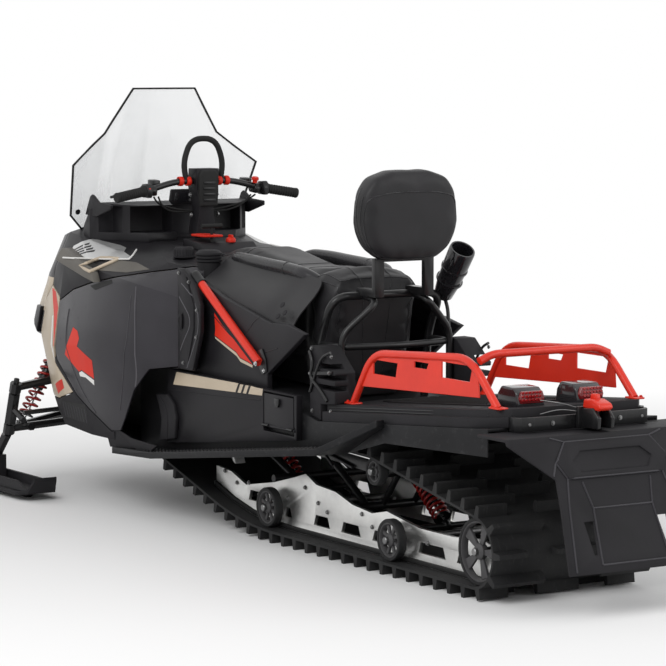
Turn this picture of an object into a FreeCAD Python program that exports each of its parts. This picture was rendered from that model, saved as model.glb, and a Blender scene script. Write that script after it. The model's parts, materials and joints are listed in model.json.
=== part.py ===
import FreeCAD, Part
import math
import os

V = FreeCAD.Vector
os.makedirs("parts", exist_ok=True)

# stations along X are measured ahead of the rear axle, heights from the ground
ski_tip_x = 3120.0
flap_end_x = -420.0
frame_shift = -(ski_tip_x + flap_end_x) / 2
clear = 0.3
run_gap = 6.0
overrun = 60.0
tube_sides = 8
rod_sides = 6
bend_steps = 2

# track loop and the wheels inside it
track_half = 280.0
band_thick = 8.0
lug_height = 32.0
lug_thick = 14.0
lug_count = 60
lug_root_share = 1.7
lug_split_share = 0.36
lug_gap = 26.0
idler_radius = 100.0
bogie_radius = 65.0
carrier_radius = 44.0
drive_radius = 95.0
drive_x = 1850.0
drive_z = 286.0
carrier_x = 560.0
carrier_z = 304.0
bogie_front_x = 1207.0
bogie_rear_x = 476.0
approach_x = 1120.0
approach_radius = 1500.0
wheel_width = 28.0
wheel_face_y = 261.0
inner_face_y = 178.0
hub_radius = 24.0
axle_radius = 11.0
web_thick = 10.0
rim_depth = 15.0
hub_proud = 9.0
axle_proud = 5.0
run_height = band_thick + lug_height

# skid rails, swing arms and their shocks
rail_y = 200.0
rail_thick = 12.0
slide_width = 30.0
slide_height = 14.0
rail_nose_x = 1620.0
rail_tail_x = -38.0
rail_peak_z = 234.0
arm_y = 118.0
arm_radius = 13.0
front_arm_x = 1262.0
front_arm_z = 190.0
front_top_x = 1640.0
front_top_z = 338.0
rear_arm_x = 820.0
rear_arm_z = 150.0
rear_top_x = 1120.0
rear_top_z = 330.0
bell_x = 722.0
bell_z = 268.0
front_shock_x = 1410.0
rear_shock_x = 545.0
shock_low_z = 118.0
shock_coil = 30.0
spring_wire = 9.0
spring_turns = 6

# tunnel, running boards and tunnel panels
tunnel_half = 304.0
sheet = 4.0
tunnel_tail_x = -110.0
tunnel_tail_z = 430.0
tunnel_front_x = 1990.0
tunnel_front_z = 520.0
tunnel_knee_x = 1140.0
tunnel_knee_z = 500.0
board_thick = 22.0
board_front_x = 1985.0
board_front_z = 226.0
board_knee_x = 1705.0
board_knee_z = 240.0
board_rear_x = 640.0
board_rear_z = 376.0
board_end_x = 430.0
board_end_z = 480.0
board_rim = 30.0
cover_thick = 22.0
cover_rear_x = 905.0
cover_front_x = 1753.0
cover_top_z = 515.0
cover_low_z = 262.0

# hatch in the left tunnel panel
door_rear_x = 925.0
door_front_x = 1105.0
door_low_z = 392.0
door_high_z = 495.0
door_thick = 14.0
door_drop = 18.0
hinge_radius = 4.0
hinge_tail = 12.0

# body shell
body_rear_x = 1640.0
nose_tip_x = 2960.0
body_half = 440.0
board_inset = 20.0
board_half = body_half - board_inset
body_floor_z = 226.0
body_top_z = 990.0
body_wall = 6.0
panel_gap = 4.0
nose_split_x = 2520.0
belly_front_x = 2580.0
belly_top_z = 500.0

# windshield
shield_angle = 18.3
shield_radius = 700.0
shield_base_x = 2496.0
shield_base_z = 999.0
shield_half = 372.0
shield_foot_z = 880.0
shield_top_z = 1449.0
shield_thick = 4.0

# steering
bar_x = 2085.0
bar_z = 1128.0
bar_tip_x = 2050.0
bar_tip_y = 358.0
bar_tip_z = 1078.0
bar_bend_x = 2070.0
bar_bend_y = 235.0
bar_bend_z = 1098.0
bar_clamp_y = 110.0
bar_radius = 11.0
grip_radius = 17.0
steer_x = 2095.0
steer_z = 935.0
steer_angle = 12.0
shaft_radius = 12.0
column_radius = 24.0
riser_half = 44.0
riser_top_z = 1172.0
loop_radius = 9.0
loop_top_z = 1275.0
loop_half = 82.0

# engine, front suspension and skis
engine_front_x = 2370.0
engine_half = 185.0
engine_low_z = 262.0
engine_top_z = 640.0
pin_x = 2700.0
pin_y = 470.0
pin_z = 215.0
caster_angle = 20.0
eye_rise = 165.0
pin_radius = 10.0
eye_radius = 20.0
eye_half = 18.0
bulk_half = 140.0
ski_y = 520.0
ski_half = 78.0
ski_tail_x = 2300.0
ski_thick = 14.0
ski_tip_z = 232.0
ski_base_z = 18.0

# seats and the frame behind them
seat_half = 170.0
seat_front_x = 1850.0
seat_split_x = 1110.0
seat_rear_x = 990.0
rest_x = 800.0
rest_low_z = 935.0
rest_high_z = 1212.0
rest_half = 184.0
hoop_x = 886.0
hoop_y = 204.0
hoop_z = 812.0
hoop_radius = 13.0

# cargo deck, rack and tail
bed_front_x = 814.0
bed_front_z = 486.0
bed_rear_x = -120.0
bed_rear_z = 564.0
bed_half = 280.0
bed_thick = 52.0
rack_y = 245.0
rack_radius = 12.0
anchor_radius = 10.5
anchor_depth = 40.0
anchor_y = 185.0
hitch_pin_radius = 8.0


def mix(a, b, share):
    return a + (b - a) * share


def spots(shares, x0, x1, z0, z1):
    return [(mix(x0, x1, a), mix(z0, z1, b)) for a, b in shares]


def box(x0, x1, y0, y1, z0, z1):
    low = V(min(x0, x1), min(y0, y1), min(z0, z1))
    return Part.makeBox(abs(x1 - x0), abs(y1 - y0), abs(z1 - z0), low)


def fuse(pieces):
    if len(pieces) == 1:
        return pieces[0]
    return pieces[0].multiFuse(pieces[1:]).removeSplitter()


def polygon(points):
    loop = [V(*p) for p in points]
    return Part.Face(Part.makePolygon(loop + [loop[0]]))


def plate_xz(points, y0, y1):
    face = polygon([(x, min(y0, y1), z) for x, z in points])
    return face.extrude(V(0, abs(y1 - y0), 0))


def plate_yz(points, x0, x1):
    face = polygon([(min(x0, x1), y, z) for y, z in points])
    return face.extrude(V(abs(x1 - x0), 0, 0))


def plate_xy(points, z0, z1):
    face = polygon([(x, y, min(z0, z1)) for x, y in points])
    return face.extrude(V(0, 0, abs(z1 - z0)))


def mirror(shape):
    return shape.mirror(V(0, 0, 0), V(0, 1, 0))


def pair(shape):
    return Part.makeCompound([shape, mirror(shape)])


def symmetric(half):
    return half + [(-y, z) for y, z in reversed(half)]


def pin(a, b, radius):
    a, b = V(*a), V(*b)
    return Part.makeCylinder(radius, (b - a).Length, a, b - a)


def ring_around(centre, axis, radius, sides):
    # corners of a tube's section, whose flat sides lie at the radius
    radius = radius / math.cos(math.pi / sides)
    across = axis.cross(V(0, 1, 0) if abs(axis.y) < abs(axis.z) + abs(axis.x) else V(1, 0, 0)).normalize()
    up = axis.cross(across).normalize()
    turns = [2 * math.pi * (i + 0.5) / sides for i in range(sides)]
    return [centre + across * (radius * math.cos(t)) + up * (radius * math.sin(t)) for t in turns]


def skin(rings):
    # closed solid through rings of equal point counts, with flat or triangular facets between them
    faces = [polygon(rings[0]), polygon(rings[-1])]
    for a, b in zip(rings, rings[1:]):
        for i in range(len(a)):
            j = (i + 1) % len(a)
            corners = [a[i], a[j], b[j], b[i]]
            normal = (a[j] - a[i]).cross(b[i] - a[i])
            flat = abs(normal.dot(b[j] - a[i])) < clear * normal.Length / 1000
            if flat:
                faces.append(polygon(corners))
            elif i < len(a) / 2:
                faces += [polygon([a[i], a[j], b[j]]), polygon([a[i], b[j], b[i]])]
            else:
                faces += [polygon([a[i], a[j], b[i]]), polygon([a[j], b[j], b[i]])]
    shell = Part.makeShell(faces)
    shell.sewShape()
    solid = Part.makeSolid(shell)
    if solid.Volume < 0:
        solid.reverse()
    return solid


def beyond(a, b, reach):
    a, b = V(*a), V(*b)
    return tuple(b + (b - a).normalize() * reach)


def bar(a, b, radius, sides=rod_sides):
    a, b = V(*a), V(*b)
    along = (b - a).normalize()
    return skin([ring_around(a, along, radius, sides), ring_around(b, along, radius, sides)])


def rounded(points, bend):
    # corner points replaced by short chords along the bend
    line = [points[0]]
    for before, corner, after in zip(points, points[1:], points[2:]):
        back = (before - corner).normalize()
        onward = (after - corner).normalize()
        turn = math.pi - back.getAngle(onward)
        reach = bend * math.tan(turn / 2)
        first = corner + back * reach
        last = corner + onward * reach
        centre = corner + (back + onward).normalize() * (bend / math.cos(turn / 2))
        for step in range(bend_steps + 1):
            share = step / bend_steps
            lead = math.sin((1 - share) * turn) / math.sin(turn)
            trail = math.sin(share * turn) / math.sin(turn)
            line.append(centre + (first - centre) * lead + (last - centre) * trail)
    line.append(points[-1])
    return line


def tube(points, radius, bend, sides=tube_sides):
    line = rounded([V(*p) for p in points], bend)
    along = (line[1] - line[0]).normalize()
    ring = ring_around(line[0], along, radius, sides)
    rings = [ring]
    for i in range(1, len(line)):
        along = (line[i] - line[i - 1]).normalize()
        across = along
        if i + 1 < len(line):
            across = (along + (line[i + 1] - line[i]).normalize()).normalize()
        ring = [p + along * ((line[i] - p).dot(across) / along.dot(across)) for p in ring]
        rings.append(ring)
    return skin(rings)


def turned(x, z, profile, sides):
    # faceted ring about a cross axis through (x, z), from a closed profile of (y, radius)
    rings = []
    for y, radius in profile:
        turns = [2 * math.pi * i / sides for i in range(sides)]
        rings.append([V(x + radius * math.cos(t), y, z + radius * math.sin(t)) for t in turns])
    faces = []
    for a, b in zip(rings, rings[1:] + rings[:1]):
        for i in range(sides):
            j = (i + 1) % sides
            faces.append(polygon([a[i], a[j], b[j], b[i]]))
    shell = Part.makeShell(faces)
    shell.sewShape()
    solid = Part.makeSolid(shell)
    if solid.Volume < 0:
        solid.reverse()
    return solid


def leaning(angle):
    lean = math.radians(angle)
    return V(-math.sin(lean), 0, math.cos(lean))


def save(name, shape):
    shape = shape.copy()
    shape.translate(V(frame_shift, 0, 0))
    shape.exportStep("parts/" + name + ".step")
    b = shape.BoundBox
    print(name, shape.isValid(), len(shape.Solids), "x", round(b.XMin), round(b.XMax),
          "y", round(b.YMin), round(b.YMax), "z", round(b.ZMin), round(b.ZMax), flush=True)


# lines that several pieces follow
board_line = [(board_front_x, board_front_z), (board_knee_x, board_knee_z), (board_rear_x, board_rear_z),
              (board_end_x, board_end_z)]


def bed_line(x):
    return mix(bed_front_z, bed_rear_z, (bed_front_x - x) / (bed_front_x - bed_rear_x))


def tunnel_top():
    under = bed_thick + clear
    return [(tunnel_front_x, tunnel_front_z), (tunnel_knee_x, tunnel_knee_z),
            (bed_front_x, bed_line(bed_front_x) - under), (tunnel_tail_x, bed_line(tunnel_tail_x) - under)]


def above_tunnel(x):
    line = tunnel_top()
    for (xa, za), (xb, zb) in zip(line, line[1:]):
        if x >= xb:
            break
    return mix(za, zb, (xa - x) / (xa - xb)) + clear


def below_deck():
    # all room under the tunnel's top and the cargo deck's top
    top = tunnel_top()[:2]
    edge = [(x, z + clear) for x, z in top]
    edge += [(bed_front_x + clear, bed_front_z - bed_thick + clear)]
    edge += [(x, bed_line(x) + clear) for x in (bed_front_x + clear, bed_rear_x)]
    return plate_xz(edge + [(bed_rear_x, 0), (tunnel_front_x, 0)], -board_half, board_half)


# track: straight runs joined by arcs round the wheels, with lugs in alternate rows
def loop_arcs():
    arc_z = run_height + approach_radius
    reach = math.hypot(drive_x - approach_x, arc_z - drive_z)
    phase = math.atan2(drive_x - approach_x, arc_z - drive_z)
    rise = phase - math.acos((approach_radius - drive_radius) / reach)
    circles = [(0.0, run_height + idler_radius, idler_radius), (approach_x, arc_z, approach_radius),
               (drive_x, drive_z, drive_radius), (carrier_x, carrier_z, carrier_radius)]

    def normal(a, b):
        dx, dz = b[0] - a[0], b[1] - a[1]
        lean = math.acos((a[2] - b[2]) / math.hypot(dx, dz))
        return (math.atan2(dz, dx) - lean) % (2 * math.pi)
    to_carrier = normal(circles[2], circles[3])
    to_idler = normal(circles[3], circles[0])
    low = -math.pi / 2
    turns = [(to_idler, low + 2 * math.pi), (low, low + rise), (low + rise, to_carrier),
             (to_carrier, to_idler)]
    return circles, turns


def loop_wire(offset):
    arcs = []
    for (cx, cz, cr), (start, end) in zip(*loop_arcs()):
        radius = cr + offset
        arcs.append([V(cx + radius * math.cos(t), 0, cz + radius * math.sin(t))
                     for t in (start, (start + end) / 2, end)])
    edges = []
    for i, arc in enumerate(arcs):
        edges.append(Part.Arc(*arc).toShape())
        edges.append(Part.makeLine(arc[2], arcs[(i + 1) % len(arcs)][0]))
    return Part.Wire(edges)


def track():
    outer = Part.Face(loop_wire(band_thick))
    band = outer.cut(Part.Face(loop_wire(0.0))).extrude(V(0, 2 * track_half, 0))
    band.translate(V(0, -track_half, 0))
    edges = Part.__sortEdges__(loop_wire(band_thick).Edges)
    length = sum(edge.Length for edge in edges)
    inside = V(drive_x / 2, 0, run_height + idler_radius)
    split = track_half * lug_split_share
    wide = [(-track_half, -split), (split, track_half)]
    narrow = [(-split + lug_gap, split - lug_gap), (-track_half, -track_half + split),
              (track_half - split, track_half)]
    pieces = [band]
    for i in range(lug_count):
        along_loop = length * i / lug_count
        for edge in edges:
            if along_loop <= edge.Length:
                break
            along_loop -= edge.Length
        spot = edge.getParameterByLength(min(along_loop, edge.Length))
        at = edge.valueAt(spot)
        along = edge.tangentAt(spot).normalize()
        out = V(along.z, 0, -along.x)
        if out.dot(at - inside) < 0:
            out = -out
        foot = at - out * (band_thick / 2)
        head = at + out * lug_height
        root = along * (lug_thick * lug_root_share / 2)
        tip = along * (lug_thick / 2)
        for y0, y1 in (wide if i % 2 else narrow):
            corners = [foot + root, foot - root, head - tip, head + tip]
            pieces.append(polygon([(p.x, y0, p.z) for p in corners]).extrude(V(0, y1 - y0, 0)))
    return fuse(pieces)


def approach_height(x):
    if x <= approach_x:
        return run_height
    return run_height + approach_radius - math.sqrt(approach_radius ** 2 - (x - approach_x) ** 2)


def rolling_height(x, radius):
    # axle height of a wheel that rolls on the lower run
    if x <= approach_x:
        return run_height + radius
    inner = approach_radius - radius
    return run_height + approach_radius - math.sqrt(inner ** 2 - (x - approach_x) ** 2)


def wheel(x, z, radius, face, sides, windows):
    # tyre, rim, web and a hub that stands proud on the outer side
    back = face - wheel_width
    middle = face - wheel_width / 2
    rim = radius - rim_depth
    web = web_thick / 2
    hub = min(hub_radius, rim * 0.6)
    profile = [(face, radius - clear), (face, rim), (middle + web, rim - web), (middle + web, hub),
               (face + hub_proud, hub * 0.6), (face + hub_proud, axle_radius * 0.7),
               (middle - web, axle_radius * 0.7), (middle - web, rim - web), (back, rim),
               (back, radius - clear)]
    if windows == 0:
        profile[3:5] = []
    body = turned(x, z, profile, sides)
    inner, outer = hub + web, (rim - 2 * web) * math.cos(math.pi / sides)
    for i in range(windows):
        turn = 2 * math.pi * (i + 0.5) / windows
        spread = math.pi / windows * 0.62
        corners = [(inner, -spread * 0.5), (outer, -spread), (outer, spread), (inner, spread * 0.5)]
        cut = [(x + r * math.cos(turn + a), z + r * math.sin(turn + a)) for r, a in corners]
        body = body.cut(plate_xz(cut, back, face))
    return body


def axle(x, z, radius, end):
    return bar((x, -end, z), (x, end, z), radius)


def wheel_pair(x, z, radius, sides, windows):
    one = wheel(x, z, radius, wheel_face_y, sides, windows)
    return [one, mirror(one), axle(x, z, axle_radius, wheel_face_y + hub_proud + axle_proud)]


def rear_wheels():
    z = run_height + idler_radius
    inner = wheel(0.0, z, idler_radius, inner_face_y, 12, 0)
    return fuse(wheel_pair(0.0, z, idler_radius, 16, 5) + [inner, mirror(inner)])


def bogie_wheels():
    sets = []
    for x in (bogie_front_x, bogie_rear_x):
        sets.append(fuse(wheel_pair(x, rolling_height(x, bogie_radius), bogie_radius, 12, 5)))
    return sets


def carrier_links():
    # flat bars from the carrier's axle to the rear arm's top shaft
    a, b = V(carrier_x, 0, carrier_z), V(rear_top_x, 0, rear_top_z)
    along = (b - a).normalize()
    across = V(along.z, 0, -along.x) * (axle_radius * 1.8)
    reach = along * (axle_radius * 2)
    corners = [a - reach + across, a - reach - across, b + reach - across, b + reach + across]
    y0 = rail_y + rail_thick + clear
    y1 = wheel_face_y - wheel_width - clear
    plate = plate_xz([(p.x, p.z) for p in corners], y0, mix(y0, y1, 0.5))
    plate = plate.cut(bar((a.x, y0 - overrun, a.z), (a.x, y1 + overrun, a.z), axle_radius + clear))
    return pair(plate.cut(bar((b.x, y0 - overrun, b.z), (b.x, y1 + overrun, b.z), arm_radius + clear)))


def carrier_wheels():
    return fuse(wheel_pair(carrier_x, carrier_z, carrier_radius, 10, 0))


tooth_count = 9
tooth_depth = 16.0


def sprocket(face):
    outer = drive_radius - clear
    corners = []
    for i in range(tooth_count):
        turn = 2 * math.pi * i / tooth_count
        step = math.pi / tooth_count
        for radius, share in ((outer - tooth_depth, -0.9), (outer, -0.35), (outer, 0.35),
                              (outer - tooth_depth, 0.9)):
            corners.append((drive_x + radius * math.cos(turn + step * share),
                            drive_z + radius * math.sin(turn + step * share)))
    return plate_xz(corners, face - wheel_width, face)


drive_end = tunnel_half - sheet - clear


def drive_axle():
    pieces = [axle(drive_x, drive_z, axle_radius * 1.4, drive_end)]
    pieces += [sprocket(inner_face_y), mirror(sprocket(inner_face_y))]
    return fuse(pieces)


rail_crest_shares = [(0.0, 0.29), (0.01, 0.57), (0.05, 0.64), (0.14, 0.57), (0.25, 0.57), (0.36, 0.71),
                     (0.41, 0.62), (0.48, 0.68), (0.54, 0.82), (0.61, 0.86), (0.65, 1.0), (0.69, 0.9),
                     (0.77, 0.73), (0.88, 0.57), (0.94, 0.74), (1.0, 0.78)]
rail_window_shares = [(0.08, 0.13), (0.165, 0.255), (0.36, 0.41), (0.45, 0.52), (0.56, 0.62), (0.7, 0.73),
                      (0.81, 0.87)]
window_high = 34.0
window_lift = 22.0
window_slant = 14.0


def rail():
    crest = spots(rail_crest_shares, rail_tail_x, rail_nose_x, run_height, rail_peak_z)
    stations = [0.0, approach_x]
    stations += [mix(approach_x, rail_nose_x, i / 4) for i in range(1, 5)]
    low = [(x, approach_height(x) + slide_height) for x in stations]
    tail_low = (rail_tail_x,
                run_height + slide_height + idler_radius - math.sqrt(idler_radius ** 2 - rail_tail_x ** 2))
    plate = plate_xz([tail_low] + low + crest[::-1], rail_y, rail_y + rail_thick)
    for a, b in rail_window_shares:
        x0, x1 = mix(rail_tail_x, rail_nose_x, a), mix(rail_tail_x, rail_nose_x, b)
        z0 = approach_height(x1) + slide_height + window_lift
        z1 = z0 + window_high
        corners = [(x0, z0), (x1, z0), (x1 - window_slant, z1), (x0 + window_slant, z1)]
        plate = plate.cut(plate_xz(corners, rail_y, rail_y + rail_thick))
    middle = rail_y + rail_thick / 2
    low_face = [(x, approach_height(x) + clear) for x in stations]
    slide = plate_xz(low_face + low[::-1], middle - slide_width / 2, middle + slide_width / 2)
    shape = fuse([plate, slide])
    for x, radius in ((0.0, idler_radius), (bogie_front_x, bogie_radius), (bogie_rear_x, bogie_radius)):
        z = rolling_height(x, radius)
        shape = shape.cut(bar((x, 0, z), (x, track_half, z), axle_radius + clear))
    return shape


def coil_over(a, b, coil, stand):
    # damper body, two spring seats and the turns of the spring as a stack of rings
    a, b = V(*a), V(*b)
    span = b - a
    wire = (b - a).normalize() * spring_wire
    pieces = [bar(a, b, coil * 0.4)]
    start, end = stand, 1 - stand
    for share in (start, end):
        at = a + span * share
        pieces.append(bar(at, at + wire, coil))
    for i in range(spring_turns):
        at = a + span * mix(start, end, (i + 0.7) / (spring_turns + 0.4))
        pieces.append(bar(at, at + wire, coil * 0.92))
    return fuse(pieces)


def cross_shaft(x, z, radius, end):
    return bar((x, -end, z), (x, end, z), radius)


def skid_shock(low_x, top_x, top_z):
    low = V(low_x, 0, shock_low_z)
    shaft = cross_shaft(low_x, shock_low_z, arm_radius * 0.7, rail_y - clear)
    damper = coil_over(tuple(low), (top_x, 0, top_z), shock_coil, 0.16)
    return biggest(fuse([shaft, damper]).cut(cross_shaft(top_x, top_z, arm_radius + clear, rail_y)))


def skid_arm(low_x, low_z, top_x, top_z, bell):
    pieces = [cross_shaft(low_x, low_z, arm_radius, rail_y - clear),
              cross_shaft(top_x, top_z, arm_radius, drive_end)]
    for y in (arm_y, -arm_y):
        pieces.append(bar((low_x, y, low_z), (top_x, y, top_z), arm_radius))
        if bell:
            pieces.append(bar((low_x, y / 2, low_z), (bell_x, y / 2, bell_z), arm_radius * 0.8))
    if bell:
        pieces.append(cross_shaft(bell_x, bell_z, arm_radius, arm_y))
    return fuse(pieces)


# tunnel: folded sheet, open below
def tunnel():
    top = tunnel_top()
    low = [(tunnel_tail_x, tunnel_tail_z), (board_end_x, mix(tunnel_tail_z, board_rear_z, 0.4)),
           (board_rear_x, board_rear_z - board_thick), (board_knee_x, board_knee_z - board_thick),
           (tunnel_front_x, board_front_z - board_thick)]
    outer = plate_xz(top + low, -tunnel_half, tunnel_half)
    inside = [(x, z - sheet) for x, z in top]
    inside[0] = (tunnel_front_x - sheet, inside[0][1])
    inside[-1] = (tunnel_tail_x - overrun, inside[-1][1])
    room = inside + [(tunnel_tail_x - overrun, 0), (tunnel_front_x - sheet, 0)]
    return outer.cut(plate_xz(room, sheet - tunnel_half, tunnel_half - sheet))


grip_pitch = 72.0
grip_slot = 42.0
grip_row_shares = (0.45, 0.75)


def running_board():
    lower = [(x, z - board_thick) for x, z in board_line]
    body = plate_xz(board_line + lower[::-1], tunnel_half + clear, board_half)
    plan = [(board_front_x, tunnel_half), (board_front_x, board_half), (board_rear_x, board_half),
            (board_end_x, tunnel_half + board_rim), (board_end_x, tunnel_half)]
    body = body.common(plate_xy(plan, 0, body_top_z))
    slots = int((board_knee_x - board_rear_x) / grip_pitch)
    y0, y1 = [mix(tunnel_half, board_half, share) for share in grip_row_shares]
    holes = []
    for i in range(1, slots):
        x = board_rear_x + grip_pitch * i
        holes.append(box(x, x + grip_slot, y0, y1, 0, body_top_z))
    return body.cut(Part.makeCompound(holes))


cover_shares = [(0.0, 0.4), (0.25, 0.3), (0.7, 0.11), (1.0, 0.0), (1.0, 1.0), (0.0, 0.96)]


def tunnel_cover(with_door):
    outline = spots(cover_shares, cover_rear_x, cover_front_x, cover_low_z, cover_top_z)
    y0, y1 = tunnel_half + clear, tunnel_half + cover_thick
    cover = plate_xz(outline, y0, y1)
    lift = [(x, z + clear) for x, z in board_line]
    cover = cover.cut(plate_xz(lift + [(board_end_x, 0), (board_front_x, 0)], y0, y1))
    if with_door:
        cover = cover.cut(box(door_rear_x - run_gap, door_front_x + run_gap, y0, y1,
                              door_low_z - door_drop, door_high_z + run_gap))
        cover = cover.cut(pin((door_rear_x - hinge_tail, y1, door_low_z),
                              (door_front_x + hinge_tail, y1, door_low_z),
                              hinge_radius + clear))
    return cover


def hatch_door():
    y1 = tunnel_half + cover_thick
    leaf = box(door_rear_x, door_front_x, y1 - door_thick, y1, door_low_z, door_high_z)
    hinge = pin((door_rear_x - hinge_tail + clear, y1, door_low_z),
                (door_front_x + hinge_tail - clear, y1, door_low_z),
                hinge_radius)
    return fuse([leaf, hinge])


# body shell: stations along the body, each with its left half from the keel up to the crown
body_station_shares = [0.0, 0.13, 0.39, 0.58, 0.65, 0.71, 0.74, 0.8, 0.92, 1.0]
body_half_shares = [
    [(0.55, 0.10), (0.75, 0.14), (0.79, 0.44), (0.76, 0.70), (0.55, 0.82), (0.23, 0.83)],
    [(0.68, 0.00), (0.91, 0.03), (1.00, 0.44), (0.93, 0.75), (0.66, 0.84), (0.34, 0.86)],
    [(0.68, 0.00), (0.93, 0.03), (1.00, 0.44), (0.92, 0.79), (0.70, 0.87), (0.34, 0.90)],
    [(0.60, 0.01), (0.88, 0.04), (0.98, 0.41), (0.88, 0.79), (0.74, 0.92), (0.34, 0.96)],
    [(0.52, 0.09), (0.84, 0.10), (0.94, 0.42), (0.84, 0.77), (0.72, 0.93), (0.34, 0.99)],
    [(0.48, 0.16), (0.80, 0.17), (0.90, 0.44), (0.81, 0.75), (0.68, 0.91), (0.33, 0.97)],
    [(0.44, 0.34), (0.75, 0.35), (0.86, 0.47), (0.78, 0.73), (0.64, 0.89), (0.32, 0.94)],
    [(0.39, 0.37), (0.68, 0.38), (0.80, 0.50), (0.72, 0.67), (0.55, 0.82), (0.27, 0.86)],
    [(0.25, 0.39), (0.52, 0.40), (0.63, 0.52), (0.56, 0.63), (0.36, 0.72), (0.18, 0.75)],
    [(0.11, 0.45), (0.25, 0.46), (0.32, 0.53), (0.28, 0.59), (0.20, 0.63), (0.09, 0.64)],
]
side_panel_shares = [(0.0, 0.40), (0.08, 0.38), (0.23, 0.08), (0.28, 0.07), (0.46, 0.20), (0.57, 0.35),
                     (0.58, 0.62), (0.5, 0.68), (0.37, 0.73), (0.13, 0.80), (0.0, 0.84)]
blade_shares = [(0.72, 0.60), (0.67, 0.68), (0.585, 0.635), (0.58, 0.42), (0.595, 0.33), (0.49, 0.21),
                (0.61, 0.16),
                (0.70, 0.155), (0.735, 0.22)]


def body_x(share):
    return mix(body_rear_x, nose_tip_x, share)


def body_z(share):
    return mix(body_floor_z, body_top_z, share)


def body_ring(station, half, wall=0.0, pull=0.0):
    middle = (half[0][1] + half[-1][1]) / 2
    points = []
    for y, z in half:
        lift = -wall if z > middle else wall
        points.append((y * body_half - wall, body_z(z) + lift))
    x = body_x(station) - pull
    return [V(x, y, z) for y, z in symmetric(points)]


def body_solid(wall=0.0):
    rings = []
    for station, half in zip(body_station_shares, body_half_shares):
        pull = wall if station == body_station_shares[-1] else 0.0
        pull = -wall if station == body_station_shares[0] and wall else pull
        rings.append(body_ring(station, half, wall, pull))
    return skin(rings)


def side_outline(shares):
    return [(body_x(a), body_z(b)) for a, b in shares]


def widened(points, gap):
    face = polygon([(x, 0, z) for x, z in points])
    wire = face.makeOffset2D(gap, 2, False, False, True)
    return [(v.X, v.Z) for v in wire.OuterWire.OrderedVertexes]


def body_panels():
    outer = body_solid()
    skin_solid = outer.cut(body_solid(body_wall))
    far = board_half * 2
    edge = engine_half + column_radius
    side = side_outline(side_panel_shares)
    blade = side_outline(blade_shares)
    side_panel = skin_solid.common(plate_xz(side, edge, far))
    blade_panel = skin_solid.common(plate_xz(blade, edge, far))
    rest = skin_solid
    for points in (side, blade):
        wide = plate_xz(widened(points, panel_gap), edge, far)
        rest = rest.cut(wide).cut(mirror(wide))
    hood = rest.common(box(body_rear_x, nose_split_x, -far, far, tunnel_front_z + panel_gap, far * 2))
    belly = rest.common(box(tunnel_front_x + clear, belly_front_x, -far, far, 0, belly_top_z))
    belly = belly.cut(box(bulk_rear_x - clear, nose_tip_x, -bulk_half - clear, bulk_half + clear, 0,
                          belly_top_z))
    nose = rest.common(box(nose_split_x + panel_gap, nose_tip_x, -far, far, belly_top_z + panel_gap, far * 2))
    return outer, side_panel, blade_panel, biggest(hood), biggest(belly), biggest(nose)


def biggest(shape):
    return max(shape.Solids, key=lambda solid: solid.Volume)


shield_shares = [(0.336, 1.0), (0.613, 0.72), (1.0, 0.527), (0.93, 0.209), (0.546, 0.02), (0.32, 0.0)]


def windshield(outer):
    up = leaning(shield_angle)
    foot = V(shield_base_x - shield_radius, 0, shield_base_z) - up * shield_radius / 2
    length = shield_radius * 2
    pane = Part.makeCylinder(shield_radius, length, foot, up)
    pane = pane.cut(Part.makeCylinder(shield_radius - shield_thick, length, foot, up))
    outline = symmetric(spots(shield_shares, 0, shield_half, shield_foot_z, shield_top_z))
    pane = pane.common(plate_yz(outline, steer_x, nose_tip_x))
    room = outer.copy()
    room.translate(V(0, 0, clear))
    return biggest(pane.cut(room))


# dash: side wings and an instrument fascia with a glove box, behind the windshield
dash_rear_x = 2165.0
dash_front_x = 2400.0
dash_inset = 122.0
dash_half = body_half - dash_inset
dash_low_z = 860.0
dash_high_z = 1050.0
dash_shares = [(0.0, 0.0), (0.0, 0.55), (0.45, 0.87), (0.75, 1.0), (1.0, 0.98)]
wing_shares = [(0.0, 0.35), (0.12, 0.95), (0.62, 1.0), (1.0, 0.55), (1.0, 0.0), (0.0, 0.0)]
glove_shares = (0.18, 0.70)
pocket_shares = (0.76, 0.94)
pocket_depth = 60.0
fascia_wall = 12.0


def dash(outer, column_room):
    half = [(mix(dash_rear_x, dash_front_x, a), dash_half * b) for a, b in dash_shares]
    plan = half + [(x, -y) for x, y in half[::-1]]
    body = plate_xy(plan, dash_low_z, dash_high_z)
    body = body.common(plate_xz(spots(wing_shares, dash_rear_x, dash_front_x, dash_low_z, dash_high_z),
                                -dash_half, dash_half))
    room = outer.copy()
    room.translate(V(0, 0, clear))
    body = body.cut(room).cut(column_room)
    low, high = dash_low_z + (dash_high_z - dash_low_z) * 0.45, dash_high_z - fascia_wall
    for (a, b), depth in ((glove_shares, pocket_depth * 2), (pocket_shares, pocket_depth)):
        for side in (1, -1):
            x0 = mix(dash_rear_x, dash_front_x, max(0.0, a - 0.4))
            body = body.cut(box(x0 - overrun, x0 + depth, side * dash_half * a, side * dash_half * b, low,
                                high))
    riser_room = box(steer_x - overrun, dash_rear_x + riser_half, -riser_half - run_gap * 3,
                     riser_half + run_gap * 3,
                     0, dash_high_z + overrun)
    return biggest(body.cut(riser_room))


steer_base = V(steer_x, 0, steer_z)
steer_up = leaning(steer_angle)
column_length = 250.0
shaft_length = 185.0


def steering_column():
    top = steer_base - steer_up * run_gap
    low = steer_base - steer_up * column_length
    column = pin(low, top, column_radius)
    foot_half = column_radius * 1.6
    foot = box(low.x - foot_half, low.x + foot_half, -foot_half, foot_half, engine_top_z + clear,
               low.z + column_radius)
    bore = pin(steer_base - steer_up * (shaft_length + column_radius), steer_base + steer_up * shaft_radius,
               shaft_radius + clear)
    return fuse([column, foot]).cut(bore)


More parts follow.
